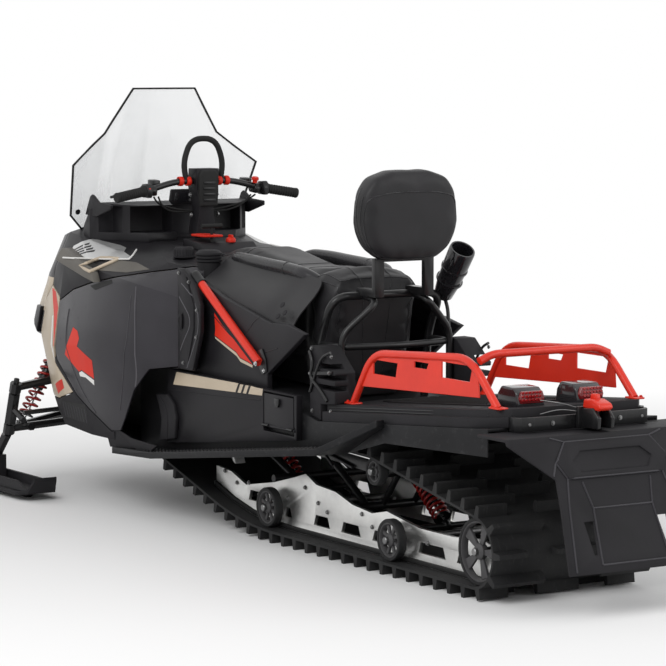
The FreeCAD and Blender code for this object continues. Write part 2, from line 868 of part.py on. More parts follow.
riser_shares = [(0.0, 0.86), (0.42, 0.6), (0.72, 1.0), (1.0, 1.0)]
riser_depth = 62.0


def steering_riser():
    shaft = pin(steer_base - steer_up * shaft_length, steer_base + steer_up * shaft_radius, shaft_radius)
    low_z = steer_z + run_gap
    rings = []
    for rise, share in riser_shares:
        z = mix(low_z, riser_top_z, rise)
        half = riser_half * share
        x0 = bar_x - riser_depth / 2 - (z - bar_z) * math.tan(math.radians(steer_angle)) * 0.3
        rings.append([V(x0, -half, z), V(x0 + riser_depth, -half, z), V(x0 + riser_depth, half, z),
                      V(x0, half, z)])
    bore = tube(bar_points(), bar_radius + clear, bar_bend_y / 6)
    return fuse([shaft, skin(rings)]).cut(bore)


def bar_points():
    half = [(bar_tip_x, bar_tip_y, bar_tip_z), (bar_bend_x, bar_bend_y, bar_bend_z),
            (bar_x, bar_clamp_y, bar_z)]
    return half + [(x, -y, z) for x, y, z in half[::-1]]


def handlebar():
    return tube(bar_points(), bar_radius, bar_bend_y / 6)


grip_length = 118.0
pod_width = 36.0
pod_high = 56.0


def grips():
    tip, bend = V(bar_tip_x, bar_tip_y, bar_tip_z), V(bar_bend_x, bar_bend_y, bar_bend_z)
    along = (bend - tip).normalize()
    grip = bar(tip - along * bar_radius / 2, tip + along * grip_length, grip_radius, tube_sides)
    half = grip_radius * 1.8
    pod = box(bar_bend_x - half, bar_bend_x + half * 0.8, bar_bend_y - pod_width, bar_bend_y,
              bar_bend_z - pod_high / 2, bar_bend_z + pod_high / 2)
    lever = tube([(bar_bend_x + half, bar_bend_y - pod_width / 2, bar_bend_z),
                  (bar_bend_x + half * 2, bar_bend_y + pod_width, bar_bend_z),
                  (bar_tip_x + half * 1.6, bar_tip_y - pod_width, bar_tip_z)], loop_radius / 2,
                 pod_width / 2, rod_sides)
    stub = bar((bar_bend_x, bar_bend_y - pod_width / 2, bar_bend_z),
               (bar_bend_x + half + loop_radius / 2, bar_bend_y - pod_width / 2, bar_bend_z), loop_radius)
    whole = fuse([grip, pod, stub, lever])
    return biggest(whole.cut(tube(bar_points(), bar_radius + clear, bar_bend_y / 6)))


def grab_loop():
    foot_z = riser_top_z + clear
    low_z = mix(foot_z, loop_top_z, 0.28)
    half = [(bar_x, riser_half * 0.8, foot_z - loop_radius), (bar_x, loop_half, low_z),
            (bar_x, loop_half * 0.5, loop_top_z)]
    points = half + [(x, -y, z) for x, y, z in half[::-1]]
    loop = tube(points, loop_radius, loop_radius * 2)
    return loop.cut(box(bar_x - overrun, bar_x + overrun, -board_half, board_half, steer_z, foot_z))


# front suspension and skis
pin_up = leaning(caster_angle)
pin_low = V(pin_x, pin_y, pin_z)
pin_high = pin_low + pin_up * eye_rise
upper_root_z = 420.0
lower_root_z = 250.0
lower_root_xs = (2600.0, 2820.0)
upper_root_xs = (2612.0, 2655.0)
steer_arm_length = 100.0


def arm(at, xs, z):
    pieces = [bar(at - pin_up * eye_half, at + pin_up * eye_half, eye_radius, tube_sides)]
    for x in xs:
        start = V(x, bulk_half, z)
        inward = (start - at).normalize() * overrun
        pieces.append(bar(start + inward, at, arm_radius))
    bore = pin(at - pin_up * eye_half * 2, at + pin_up * eye_half * 2, pin_radius + clear)
    cut = box(body_rear_x, ski_tip_x, -board_half, bulk_half + clear, 0, body_top_z)
    return biggest(fuse(pieces).cut(bore).cut(cut))


shock_foot_y = 420.0
shock_foot_half = 22.0
shock_top_y = 268.0


def lower_arm():
    foot = box(pin_x - shock_foot_half, pin_x + shock_foot_half, shock_foot_y - shock_foot_half / 2,
               shock_foot_y + shock_foot_half / 2, pin_z, pin_z + arm_radius * 2)
    cross = bar((lower_root_xs[0] + overrun, shock_foot_y - shock_foot_half, mix(pin_z, lower_root_z, 0.15)),
                (lower_root_xs[1] - overrun, shock_foot_y - shock_foot_half,
                 mix(pin_z, lower_root_z, 0.15)), arm_radius)
    one = arm(pin_low, lower_root_xs, lower_root_z)
    return fuse([one, foot, cross])


spindle_foot_x = 2728.0
spindle_foot_y = 512.0
spindle_foot_z = 112.0
saddle_half_x = 38.0
saddle_half_y = 32.0
saddle_low_z = 96.0


def steer_arm_end():
    middle = pin_low + pin_up * (eye_rise / 2)
    return middle, middle + V(-pin_up.z, 0, pin_up.x) * steer_arm_length


def spindle():
    clearance = eye_half + run_gap
    kingpin = pin(pin_low - pin_up * clearance, pin_high + pin_up * (clearance + pin_radius), pin_radius)
    upright = bar(pin_low + pin_up * clearance, pin_high - pin_up * clearance, eye_radius)
    top = pin_low - pin_up * clearance
    leg = bar(top + pin_up * eye_radius, (spindle_foot_x, spindle_foot_y, spindle_foot_z), pin_radius * 1.7)
    leg = leg.cut(bar(top, top + pin_up * eye_rise, eye_radius * 3))
    middle, end = steer_arm_end()
    steer = bar(middle, end, pin_radius)
    saddle = box(spindle_foot_x - saddle_half_x, spindle_foot_x + saddle_half_x, ski_y - saddle_half_y,
                 ski_y + saddle_half_y, saddle_low_z, spindle_foot_z + pin_radius)
    return fuse([kingpin, upright, leg, steer, saddle])


def tie_rod():
    middle, end = steer_arm_end()
    rise = pin_radius * 2 + run_gap
    outer = V(end.x, end.y, end.z + rise)
    inner = V(end.x, bulk_half, end.z + rise * 1.6)
    inward = (inner - outer).normalize() * overrun
    cut = box(body_rear_x, ski_tip_x, -board_half, bulk_half + clear, 0, body_top_z)
    return bar(inner + inward, outer, pin_radius * 0.8).cut(cut)


ski_shares = [(0.0, 0.26), (0.045, 0.04), (0.12, 0.0), (0.73, 0.0), (0.87, 0.14), (0.96, 0.52), (1.0, 0.93)]
ski_plan_shares = [(0.0, 0.55), (0.1, 0.9), (0.35, 1.0), (0.8, 0.95), (1.0, 0.45)]
ski_rib_shares = [(0.04, 0.08), (0.77, 0.04), (0.9, 0.3), (0.85, 0.3), (0.7, 0.21), (0.15, 0.22)]
keel_shares = [(0.17, -1.0), (0.7, -1.0), (0.77, 0.3), (0.12, 0.3)]
rib_thick = 12.0
rib_y = 44.0
keel_half = 9.0
ski_loop_y = 45.0
ski_loop_x = 2960.0
ski_loop_reach = 50.0
ski_loop_z = 185.0
ski_loop_radius = 8.0


def ski():
    line = spots(ski_shares, ski_tail_x, ski_tip_x, ski_base_z, ski_tip_z)
    upper = [(x, z + ski_thick) for x, z in line]
    upper[-1] = (ski_tip_x - ski_thick, ski_tip_z)
    blade = plate_xz(line + upper[::-1], ski_y - ski_half, ski_y + ski_half)
    half = [(mix(ski_tail_x, ski_tip_x, a), ski_half * b) for a, b in ski_plan_shares]
    plan = [(x, ski_y + y) for x, y in half] + [(x, ski_y - y) for x, y in half[::-1]]
    pieces = [blade.common(plate_xy(plan, 0, body_top_z))]
    rib = spots(ski_rib_shares, ski_tail_x, ski_tip_x, ski_base_z, ski_tip_z)
    for y in (ski_y - rib_y - rib_thick, ski_y + rib_y):
        pieces.append(plate_xz(rib, y, y + rib_thick))
    keel = spots(keel_shares, ski_tail_x, ski_tip_x, ski_base_z, 2 * ski_base_z)
    pieces.append(plate_xz(keel, ski_y - keel_half, ski_y + keel_half))
    pieces.append(box(spindle_foot_x - saddle_half_x, spindle_foot_x + saddle_half_x, ski_y - saddle_half_y,
                      ski_y + saddle_half_y, ski_base_z + ski_thick / 2, saddle_low_z - clear))
    loop = []
    for x, y, z in ((ski_loop_x, ski_loop_y, ski_base_z + 2 * ski_thick),
                    (ski_loop_x + ski_loop_reach, ski_loop_y, ski_loop_z),
                    (ski_loop_x + ski_loop_reach, -ski_loop_y, ski_loop_z),
                    (ski_loop_x, -ski_loop_y, ski_base_z + 2 * ski_thick)):
        loop.append((x, ski_y + y, z))
    pieces.append(tube(loop, ski_loop_radius, ski_loop_radius * 3, rod_sides))
    return fuse(pieces)


bulk_rear_x = 2500.0
bulk_front_x = 2850.0
bulk_low_z = 225.0
tower_half = 28.0


def bulkhead():
    top = belly_top_z + panel_gap - clear
    front = box(bulk_rear_x, bulk_front_x, -bulk_half, bulk_half, bulk_low_z, top)
    bridge = box(engine_front_x + clear, bulk_front_x, -bulk_half, bulk_half, mix(bulk_low_z, top, 0.6), top)
    towers = []
    for side in (1, -1):
        towers.append(box(pin_x - tower_half, pin_x + tower_half, side * overrun,
                          side * (shock_top_y + tower_half),
                          top - arm_radius, top))
    return fuse([front, bridge] + towers)


def front_shock():
    top = belly_top_z + panel_gap - clear - arm_radius
    foot = pin_z + arm_radius * 2
    low, high = V(pin_x, shock_foot_y, foot - arm_radius), V(pin_x, shock_top_y, top + arm_radius)
    whole = coil_over(tuple(high), tuple(low), shock_coil, 0.14)
    cap = box(body_rear_x, nose_tip_x, 0, board_half, top - clear, body_top_z)
    base = box(body_rear_x, nose_tip_x, 0, board_half * 2, 0, foot + clear)
    return biggest(whole.cut(cap).cut(base))


def engine():
    return box(tunnel_front_x + clear, engine_front_x, -engine_half, engine_half, engine_low_z, engine_top_z)


# nose: headlamps, scoops and the front bumper
lamp_shares = [(0.755, 0.45), (0.752, 0.57), (0.87, 0.56), (0.845, 0.42)]
lamp_proud = 16.0


def headlamps(outer):
    lens = plate_xz([(body_x(a), body_z(b)) for a, b in lamp_shares], engine_half, body_half * 2)
    fat = body_solid(-lamp_proud)
    return fuse([fat.common(lens)]).cut(swollen(outer))


def swollen(outer):
    room = outer.copy()
    moved = outer.copy()
    room.translate(V(0, clear, 0))
    moved.translate(V(clear, 0, 0))
    return room.fuse(moved)


scoop_shares = [(0.33, 0.735), (0.60, 0.81), (0.585, 0.865), (0.36, 0.80)]
scoop_proud = 26.0


def scoops(outer):
    block = plate_xz([(body_x(a), body_z(b)) for a, b in scoop_shares], engine_half, body_half * 2)
    fat = body_solid(-scoop_proud)
    piece = fat.common(block).cut(swollen(outer))
    return biggest(piece)


bumper_z = 420.0
bumper_x = 2930.0
bumper_half = 165.0
bumper_radius = 13.0


def front_bumper():
    points = [(bulk_front_x - overrun, bulk_half * 0.7, bumper_z), (bumper_x, bumper_half, bumper_z),
              (bumper_x, -bumper_half, bumper_z), (bulk_front_x - overrun, -bulk_half * 0.7, bumper_z)]
    loop = tube(points, bumper_radius, overrun / 2)
    return loop.cut(box(body_rear_x, bulk_front_x + clear, -board_half, board_half, 0, body_top_z))


# seats: sections from the tunnel up, each with its half width and top
seat_row_shares = [(1.0, 0.62, 0.905), (0.8, 0.88, 0.95), (0.64, 0.99, 0.96), (0.26, 1.0, 0.86),
                   (0.0, 1.0, 0.86)]
seat_peak_z = 935.0
rear_foot_share = 0.7
rear_row_shares = [(1.0, 1.0, 0.88), (0.4, 1.0, 0.93), (0.0, 0.97, 0.86)]


def seat_ring(x, base, wide, top, foot=0.86):
    half = [(foot * wide, base), (wide, mix(base, top, 0.45)), (wide, mix(base, top, 0.88)),
            (0.84 * wide, mix(base, top, 0.975)), (0.4 * wide, top)]
    return [V(x, y, z) for y, z in symmetric(half)]


def driver_seat():
    rings = []
    for along, wide, high in seat_row_shares:
        x = mix(seat_split_x + panel_gap, seat_front_x, along)
        base = above_tunnel(x)
        rings.append(seat_ring(x, base, seat_half * wide, mix(tunnel_knee_z, seat_peak_z, high)))
    return skin(rings).cut(under_tunnel())


def rear_seat():
    rings = []
    for along, wide, high in rear_row_shares:
        x = mix(seat_rear_x, seat_split_x - panel_gap, along)
        rings.append(seat_ring(x, above_tunnel(x), seat_half * wide, mix(tunnel_knee_z, seat_peak_z, high),
                               rear_foot_share))
    rings[-1] = [V(p.x + (tunnel_knee_z - p.z) / 8, p.y, p.z) for p in rings[-1]]
    return skin(rings).cut(under_tunnel())


leg_x = 963.0
leg_z = 670.0
leg_foot_x = 985.0
brace_x = 836.0
brace_z = 695.0
brace_top_x = 796.0
brace_y = 93.0
low_bow = 36.0


def passenger_frame(grow=0.0):
    pieces = [tube(hoop_points(), hoop_radius + grow, hoop_radius * 3)]
    low_z = leg_z - hoop_radius
    lower = [(leg_x, hoop_y, low_z), (brace_x, hoop_y, low_z), (brace_x - low_bow, 0, low_z),
             (brace_x, -hoop_y, low_z),
             (leg_x, -hoop_y, low_z)]
    pieces.append(tube(lower, hoop_radius * 0.85 + grow, hoop_radius * 2, rod_sides))
    for side in (1, -1):
        brace = [(hoop_x, side * brace_y, hoop_z), (brace_top_x, side * brace_y, hoop_z - hoop_radius),
                 (brace_x, side * hoop_y, brace_z), (brace_x, side * hoop_y, bed_front_z - overrun)]
        pieces.append(tube(brace, hoop_radius * 0.85 + grow, hoop_radius, rod_sides))
    shape = fuse(pieces)
    return biggest(shape.cut(under_tunnel()))


def under_tunnel():
    # under the frame's feet: the tunnel's top as far as the deck's front edge
    edge = [(x, z + clear) for x, z in tunnel_top()[:3]]
    edge.append((bed_rear_x, edge[-1][1]))
    return plate_xz(edge + [(bed_rear_x, 0), (tunnel_front_x, 0)], -board_half, board_half)


post_y = 93.0
post_half = 17.0
post_thick = 12.0


def backrest_frame():
    pieces = []
    seat_z = hoop_z
    for side in (1, -1):
        y0, y1 = side * (post_y - post_half), side * (post_y + post_half)
        pieces.append(box(rest_x - post_thick, hoop_x + hoop_radius, y0, y1, seat_z, seat_z + 2 * post_thick))
        pieces.append(box(rest_x - post_thick, rest_x + post_thick / 2, y0, y1, seat_z, rest_low_z - clear))
    pieces.append(box(rest_x - post_thick, rest_x + post_thick / 2, -post_y, post_y,
                      rest_low_z - post_thick - clear, rest_low_z - clear))
    return biggest(fuse(pieces).cut(passenger_frame(clear)))


rest_shares = [(0.8, 0.0), (0.95, 0.1), (1.0, 0.4), (0.97, 0.75), (0.86, 0.93), (0.5, 1.0)]
rest_thick = 88.0


def backrest_pad():
    outline = symmetric(spots(rest_shares, 0, rest_half, rest_low_z, rest_high_z))
    front = plate_yz(outline, rest_x - rest_thick * 0.68, rest_x + rest_thick * 0.32)
    return front


bracket_front_x = 880.0
bracket_rear_x = 730.0
bracket_high = 165.0
bracket_slot = 16.0


def frame_bracket():
    # moulded step block beside each foot of the passenger frame
    y0, y1 = hoop_y + hoop_radius + clear, bed_half + hoop_radius
    base = tunnel_knee_z
    block = box(bracket_rear_x, bracket_front_x, y0, y1, bed_front_z - bed_thick, base + bracket_high)
    block = block.cut(below_deck())
    for i in range(3):
        z = base + bracket_high * (0.2 + 0.2 * i)
        block = block.cut(box(bracket_rear_x, mix(bracket_rear_x, bracket_front_x, 0.7), mix(y0, y1, 0.4), y1,
                              z, z + bracket_slot))
    slope = [(bracket_rear_x, base + bracket_high * 0.55),
             (mix(bracket_rear_x, bracket_front_x, 0.6), base + bracket_high),
             (bracket_rear_x, base + bracket_high)]
    return biggest(block.cut(plate_xz(slope, y0, y1)))


guard_top = (795.0, 226.0, 950.0)
guard_foot = (912.0, 226.0, 788.0)
guard_radius = 40.0


def hoop_points():
    return [(leg_foot_x, hoop_y, tunnel_knee_z - overrun), (leg_x, hoop_y, leg_z), (hoop_x, hoop_y, hoop_z),
            (hoop_x, -hoop_y, hoop_z), (leg_x, -hoop_y, leg_z),
            (leg_foot_x, -hoop_y, tunnel_knee_z - overrun)]


def hand_guard():
    # padded grip on the right end of the frame, fatter towards its top
    top, foot = V(*guard_top), V(*guard_foot)
    along = (foot - top).normalize()
    rings = []
    for share, reach in ((-0.06, 0.6), (0.0, 1.0), (0.75, 0.85), (1.0, 0.5)):
        rings.append(ring_around(top + (foot - top) * share, along, guard_radius * reach, tube_sides))
    guard = mirror(skin(rings))
    return biggest(guard.cut(tube(hoop_points(), hoop_radius + clear, hoop_radius * 3)))


# cargo deck with extruded side rails and rounded rear corners
deck_rail = 18.0
deck_rail_high = 30.0
deck_plan_shares = [(0.0, 0.94), (0.02, 1.0), (0.88, 1.0), (0.96, 0.92), (1.0, 0.8)]
mat_half = 160.0
mat_high = 4.0
mat_shares = (0.19, 0.77)


def deck_plan(grow):
    half = [(mix(bed_front_x, bed_rear_x, a), (bed_half + grow) * b) for a, b in deck_plan_shares]
    return half + [(x, -y) for x, y in half[::-1]]


def deck_slab(top_drop, low_drop):
    x0, x1 = bed_front_x, bed_rear_x
    z0, z1 = bed_line(x0), bed_line(x1)
    outline = [(x0, z0 - top_drop), (x1, z1 - top_drop), (x1, z1 - low_drop), (x0, z0 - low_drop)]
    return plate_xz(outline, -board_half, board_half)


def cargo_platform():
    deck = deck_slab(0, bed_thick).common(plate_xy(deck_plan(0), 0, body_top_z))
    rail_top = bed_thick - deck_rail_high
    rim = deck_slab(rail_top, bed_thick).common(plate_xy(deck_plan(deck_rail), 0, body_top_z))
    x0, x1 = [mix(bed_front_x, bed_rear_x, share) for share in mat_shares]
    mat = deck_slab(-mat_high, mat_high).common(box(x0, x1, -mat_half, mat_half, 0, body_top_z))
    shape = fuse([deck, rim, mat])
    normal = V(bed_rear_z - bed_front_z, 0, bed_front_x - bed_rear_x).normalize()
    for x in anchor_xs():
        for y in (anchor_y, -anchor_y):
            mouth = V(x, y, bed_line(x))
            shape = shape.cut(Part.makeCylinder(anchor_radius, anchor_depth * 2,
                                                mouth - normal * anchor_depth, normal))
    return shape


anchor_shares = (0.315, 0.711)


def anchor_xs():
    return [mix(bed_front_x, bed_rear_x, share) for share in anchor_shares]


rack_foot_x = 700.0
rack_front_x = 587.0
rack_front_z = 663.0
rack_rear_x = 62.0
rack_rear_z = 695.0
rack_tail_x = -80.0
plate_shares = [(-0.13, 0.32), (-0.01, 0.97), (1.0, 1.2), (1.07, 1.05), (1.09, 0.5)]
plate_window_shares = [(0.01, 0.61, 0.25, 0.27, 0.88), (0.44, 0.86, 0.57, 0.59, 0.97),
                       (0.72, 0.76, 1.0, 1.02, 1.06)]
rack_plate_thick = 5.0


def rack_side():
    foot_z = bed_line(rack_foot_x)
    points = [(rack_foot_x, rack_y, foot_z), (rack_front_x, rack_y, rack_front_z),
              (rack_rear_x, rack_y, rack_rear_z),
              (rack_tail_x, rack_y, bed_line(rack_tail_x))]
    points[0] = beyond(points[1], points[0], rack_radius * 2)
    points[-1] = beyond(points[-2], points[-1], rack_radius * 2)
    rail_tube = tube(points, rack_radius, rack_radius * 3)
    low, high = bed_line(rack_front_x), rack_front_z
    outline = spots(plate_shares, rack_front_x, rack_rear_x, low, high)
    plate = plate_xz(outline, rack_y - rack_plate_thick / 2, rack_y + rack_plate_thick / 2)
    for a, b, c, d, e in plate_window_shares:
        hole = spots([(a, b), (c, b), (d, e), (a, e)], rack_front_x, rack_rear_x, low, high)
        plate = plate.cut(plate_xz(hole, rack_y - overrun, rack_y + overrun))
    return biggest(fuse([rail_tube, plate]).cut(below_deck()))


hoop_bar_x = 36.0
hoop_bar_z = 706.0
hoop_bar_y = 186.0


def rack_hoop():
    end_z = mix(rack_front_z, rack_rear_z, 0.6)
    half = [(hoop_bar_x, rack_y, end_z), (hoop_bar_x, hoop_bar_y, hoop_bar_z)]
    points = half + [(x, -y, z) for x, y, z in half[::-1]]
    end = rack_y - rack_radius - clear
    room = box(bed_rear_x, bed_front_x, -end, end, bed_front_z, body_top_z)
    return tube(points, rack_radius, rack_radius * 2).common(room)


lamp_front_x = 58.0
lamp_rear_x = -44.0
lamp_y = 106.0
lamp_half = 48.0
lamp_high = 58.0
lamp_plan_shares = [(0.0, 0.0), (0.12, 1.0), (0.75, 0.95), (1.0, 0.3), (1.0, 0.0)]


def tail_lamps():
    low = bed_line(lamp_rear_x)
    outline = spots(lamp_plan_shares, lamp_front_x, lamp_rear_x, low - bed_thick / 2, low + lamp_high)
    body = plate_xz(outline, lamp_y - lamp_half, lamp_y + lamp_half).cut(below_deck())
    return pair(body)


strap_rear_x = -170.0
strap_half = 236.0
strap_low_z = 503.0
strap_high_z = 543.0
strap_thick = 8.0
strap_shares = [(0.0, 1.0), (0.5, 1.0), (0.88, 0.95), (1.0, 0.85)]
hitch_rear_x = -262.0
hitch_half = 42.0
hitch_low_z = 503.0
hitch_high_z = 584.0
hitch_pin_x = -220.0


def hitch():
    front = strap_rear_x - clear
    body = box(hitch_rear_x, front, -hitch_half, hitch_half, hitch_low_z, hitch_high_z)
    return body.cut(pin((hitch_pin_x, 0, hitch_low_z - overrun), (hitch_pin_x, 0, hitch_high_z + overrun),
                        hitch_pin_radius))


def rear_bumper():
    # flat bar bent round the rear of the deck, in front of the hitch
    front = bed_rear_x - clear
    outer = [(mix(front, strap_rear_x, a), strap_half * b) for a, b in strap_shares]
    rear, half_inside = strap_rear_x + strap_thick, strap_half - strap_thick
    inner = [(mix(front, rear, a), half_inside * b) for a, b in strap_shares]
    loop = []
    for half in (outer, inner):
        loop.append(plate_xy(half + [(x, -y) for x, y in half[::-1]], strap_low_z, strap_high_z))
    return loop[0].cut(loop[1])


flap_front_x = -110.0
flap_top_x = -256.0
flap_top_z = 499.0
flap_low_z = 128.0
flap_half = 340.0
flap_thick = 9.0
flap_half_shares = [(1.0, 1.0), (1.0, 0.95), (0.6, 0.68), (0.62, 0.5), (0.7, 0.0)]
flap_slot_shares = [(0.33, 0.37), (0.43, 0.37), (0.40, 0.13), (0.365, 0.13)]
flap_ring_shares = [(0.44, 0.95), (0.57, 0.81), (0.49, 0.69)]
flap_recess_shares = [(0.31, 0.88), (0.41, 0.81), (0.35, 0.73)]
flap_ring_high = 12.0


def flap_sheet(shift):
    top = flap_top_z - shift
    back = [(flap_top_x - shift, top), (flap_end_x - shift, flap_low_z)]
    inner = [(x + flap_thick, z) for x, z in back[::-1]]
    inner[-1] = (inner[-1][0], top - flap_thick)
    front = flap_front_x - clear
    return plate_xz([(front, top)] + back + inner + [(front, top - flap_thick)], -flap_half, flap_half)


def flap_outline(shares):
    return plate_yz(symmetric(spots(shares, 0, flap_half, flap_low_z, flap_top_z)), flap_end_x - overrun,
                    flap_top_x)


def snow_flap():
    body = flap_sheet(0).common(plate_yz(symmetric(spots(flap_half_shares, 0, flap_half, flap_low_z,
                                                         flap_top_z)),
                                         flap_end_x - overrun, flap_front_x))
    ring = flap_sheet(flap_ring_high).common(flap_outline(flap_ring_shares))
    ring = ring.cut(flap_outline(flap_recess_shares))
    body = fuse([body, ring.common(plate_xz([(flap_end_x - overrun, flap_low_z),
                                             (flap_end_x - overrun, flap_top_z),
                                             (flap_top_x, flap_top_z), (flap_end_x, flap_low_z)],
                                            -flap_half, flap_half))])
    for side in (1, -1):
        slot = [(side * y, z) for y, z in spots(flap_slot_shares, 0, flap_half, flap_low_z, flap_top_z)]
        body = body.cut(plate_yz(slot, flap_end_x - overrun, flap_top_x + overrun))
    return biggest(body)


# trim between the body and the seat
fairing_shares = [(1.0, 0.0), (1.0, 1.0), (0.89, 1.0), (0.7, 0.86), (0.29, 0.67), (0.15, 0.68), (0.0, 0.61),
                  (0.31, 0.16), (0.31, 0.0)]
fairing_rear_x = 895.0
fairing_y = 282.0
fairing_thick = 21.0
fairing_top_z = 824.0


def side_fairing():
    x0, x1 = fairing_rear_x, body_rear_x - clear
    outline = spots(fairing_shares, x0, x1, tunnel_knee_z, fairing_top_z)
    return plate_xz(outline, fairing_y, fairing_y + fairing_thick).cut(under_tunnel())


frame_tube_radius = 14.0


def subframe_tube():
    y = fairing_y + fairing_thick + frame_tube_radius + clear
    top = (mix(seat_split_x, body_rear_x, 0.86), y, fairing_top_z + frame_tube_radius)
    low = (mix(seat_split_x, body_rear_x, 0.08), y, mix(tunnel_knee_z, fairing_top_z, 0.27))
    return tube([top, low], frame_tube_radius, frame_tube_radius)


vent_rear_x = 1485.0
vent_low_z = 526.0
vent_high_z = 862.0
vent_thick = 16.0
vent_shares = [(0.35, 0.0), (1.0, 0.0), (1.0, 1.0), (0.72, 1.0), (0.28, 0.86), (0.0, 0.66), (0.0, 0.4)]
vent_groove_shares = [(0.5, 0.08), (0.56, 0.08), (0.3, 0.42), (0.3, 0.64), (0.62, 0.92), (0.56, 0.92),
                      (0.22, 0.66),
                      (0.22, 0.4)]


def vent_panel():
    x1 = body_rear_x - clear
    y0 = fairing_y + fairing_thick + 2 * frame_tube_radius + 2 * clear
    panel = plate_xz(spots(vent_shares, vent_rear_x, x1, vent_low_z, vent_high_z), y0, y0 + vent_thick)
    groove = plate_xz(spots(vent_groove_shares, vent_rear_x, x1, vent_low_z, vent_high_z),
                      y0 + vent_thick * 0.6,
                      y0 + vent_thick)
    link = box(mix(vent_rear_x, x1, 0.6), x1, fairing_y + fairing_thick + clear, y0, vent_low_z,
               mix(vent_low_z, vent_high_z, 0.2))
    return fuse([panel.cut(groove), link])


console_shares = [(0.0, 0.0), (0.0, 0.45), (0.3, 0.9), (1.0, 1.0), (1.0, 0.0)]
console_rear_x = 1862.0
console_front_x = 2040.0
console_half = 108.0
console_high_z = 930.0


def console(outer, column_room):
    outline = spots(console_shares, console_rear_x, console_front_x, mix(body_floor_z, body_top_z, 0.8),
                    console_high_z)
    block = plate_xz(outline, -console_half, console_half)
    room = outer.copy()
    room.translate(V(0, 0, clear))
    return biggest(block.cut(room).cut(column_room))


cap_x = 1835.0
cap_y = 215.0
cap_radius = 36.0
cap_high = 34.0


def filler_cap(hood):
    low = V(cap_x, cap_y, body_top_z)
    column = bar((cap_x, cap_y, body_floor_z + body_half), (cap_x, cap_y, body_top_z), cap_radius, 16)
    floor = hood.common(column).BoundBox.ZMax + clear
    return bar((low.x, low.y, floor), (low.x, low.y, floor + cap_high), cap_radius, 16)


lever_x = 1930.0
lever_y = 54.0
lever_radius = 7.0
lever_high = 52.0
knob_half = 38.0


def shift_lever(base):
    column = bar((lever_x, lever_y, body_floor_z), (lever_x, lever_y, body_top_z), lever_radius)
    foot = base.common(column).BoundBox.ZMax + clear
    stem = bar((lever_x, lever_y, foot), (lever_x, lever_y, foot + lever_high), lever_radius)
    knob = bar((lever_x, lever_y - knob_half, foot + lever_high),
               (lever_x, lever_y + knob_half, foot + lever_high),
               lever_radius)
    return fuse([stem, knob])


def main():
    save("track", track())
    wheels = [rear_wheels(), carrier_wheels(), carrier_links()] + bogie_wheels()
    save("skid_wheels", Part.makeCompound(wheels))
    save("drive_axle", drive_axle())
    save("skid_rails", pair(rail()))
    save("skid_arms", Part.makeCompound([skid_arm(front_arm_x, front_arm_z, front_top_x, front_top_z, False),
                                         skid_arm(rear_arm_x, rear_arm_z, rear_top_x, rear_top_z, True)]))
    save("skid_shocks", Part.makeCompound([skid_shock(front_shock_x, front_top_x, front_top_z),
                                           skid_shock(rear_shock_x, bell_x, bell_z)]))
    save("tunnel", tunnel())
    save("running_boards", pair(running_board()))
    save("tunnel_panels", Part.makeCompound([tunnel_cover(True), mirror(tunnel_cover(False))]))
    save("hatch_door", hatch_door())
    outer, side_panel, blade, hood, belly, nose = body_panels()
    seat_room = box(seat_split_x, seat_front_x + panel_gap, -seat_half - body_wall * 2,
                    seat_half + body_wall * 2,
                    tunnel_knee_z, body_top_z * 2)
    column_room = pin(steer_base - steer_up * column_length, steer_base + steer_up * column_length,
                      column_radius + clear)
    hood = biggest(hood.cut(seat_room).cut(column_room))
    save("side_panels", pair(side_panel))
    save("nose_blades", pair(blade))
    save("hood", hood)
    save("belly_pan", belly)
    save("nose_cone", nose)
    save("windshield", windshield(outer))
    save("dash", dash(outer, column_room))
    box_top = console(outer, column_room)
    save("console", box_top)
    save("engine", engine())
    save("bulkhead", bulkhead())
    save("headlamps", pair(headlamps(outer)))
    save("scoops", pair(scoops(outer)))
    save("front_bumper", front_bumper())
    save("side_fairings", pair(side_fairing()))
    save("vent_panels", pair(vent_panel()))
    save("subframe_tubes", pair(subframe_tube()))
    save("steering_column", steering_column())
    save("steering_riser", steering_riser())
    save("handlebar", handlebar())
    save("grips", pair(grips()))
    save("grab_loop", grab_loop())
    lower, upper = lower_arm(), arm(pin_high, upper_root_xs, upper_root_z)
    save("front_arms", Part.makeCompound([pair(lower), pair(upper)]))
    save("front_shocks", pair(front_shock()))
    save("tie_rods", pair(tie_rod()))
    for name, shape in (("spindle", spindle()), ("ski", ski())):
        save(name + "_left", shape)
        save(name + "_right", mirror(shape))
    save("seat", driver_seat())
    save("passenger_seat", rear_seat())
    save("passenger_frame", passenger_frame())
    save("backrest_frame", backrest_frame())
    save("backrest_pad", backrest_pad())
    save("frame_brackets", pair(frame_bracket()))
    save("hand_guard", hand_guard())
    save("cargo_platform", cargo_platform())
    save("rack_left", rack_side())
    save("rack_right", mirror(rack_side()))
    save("rack_hoop", rack_hoop())
    save("tail_lamps", tail_lamps())
    save("hitch", hitch())
    save("rear_bumper", rear_bumper())
    save("snow_flap", snow_flap())
    save("filler_cap", filler_cap(hood))
    save("shift_lever", shift_lever(box_top))


main()
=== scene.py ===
import json
import math
import bpy
from mathutils import Matrix, Vector


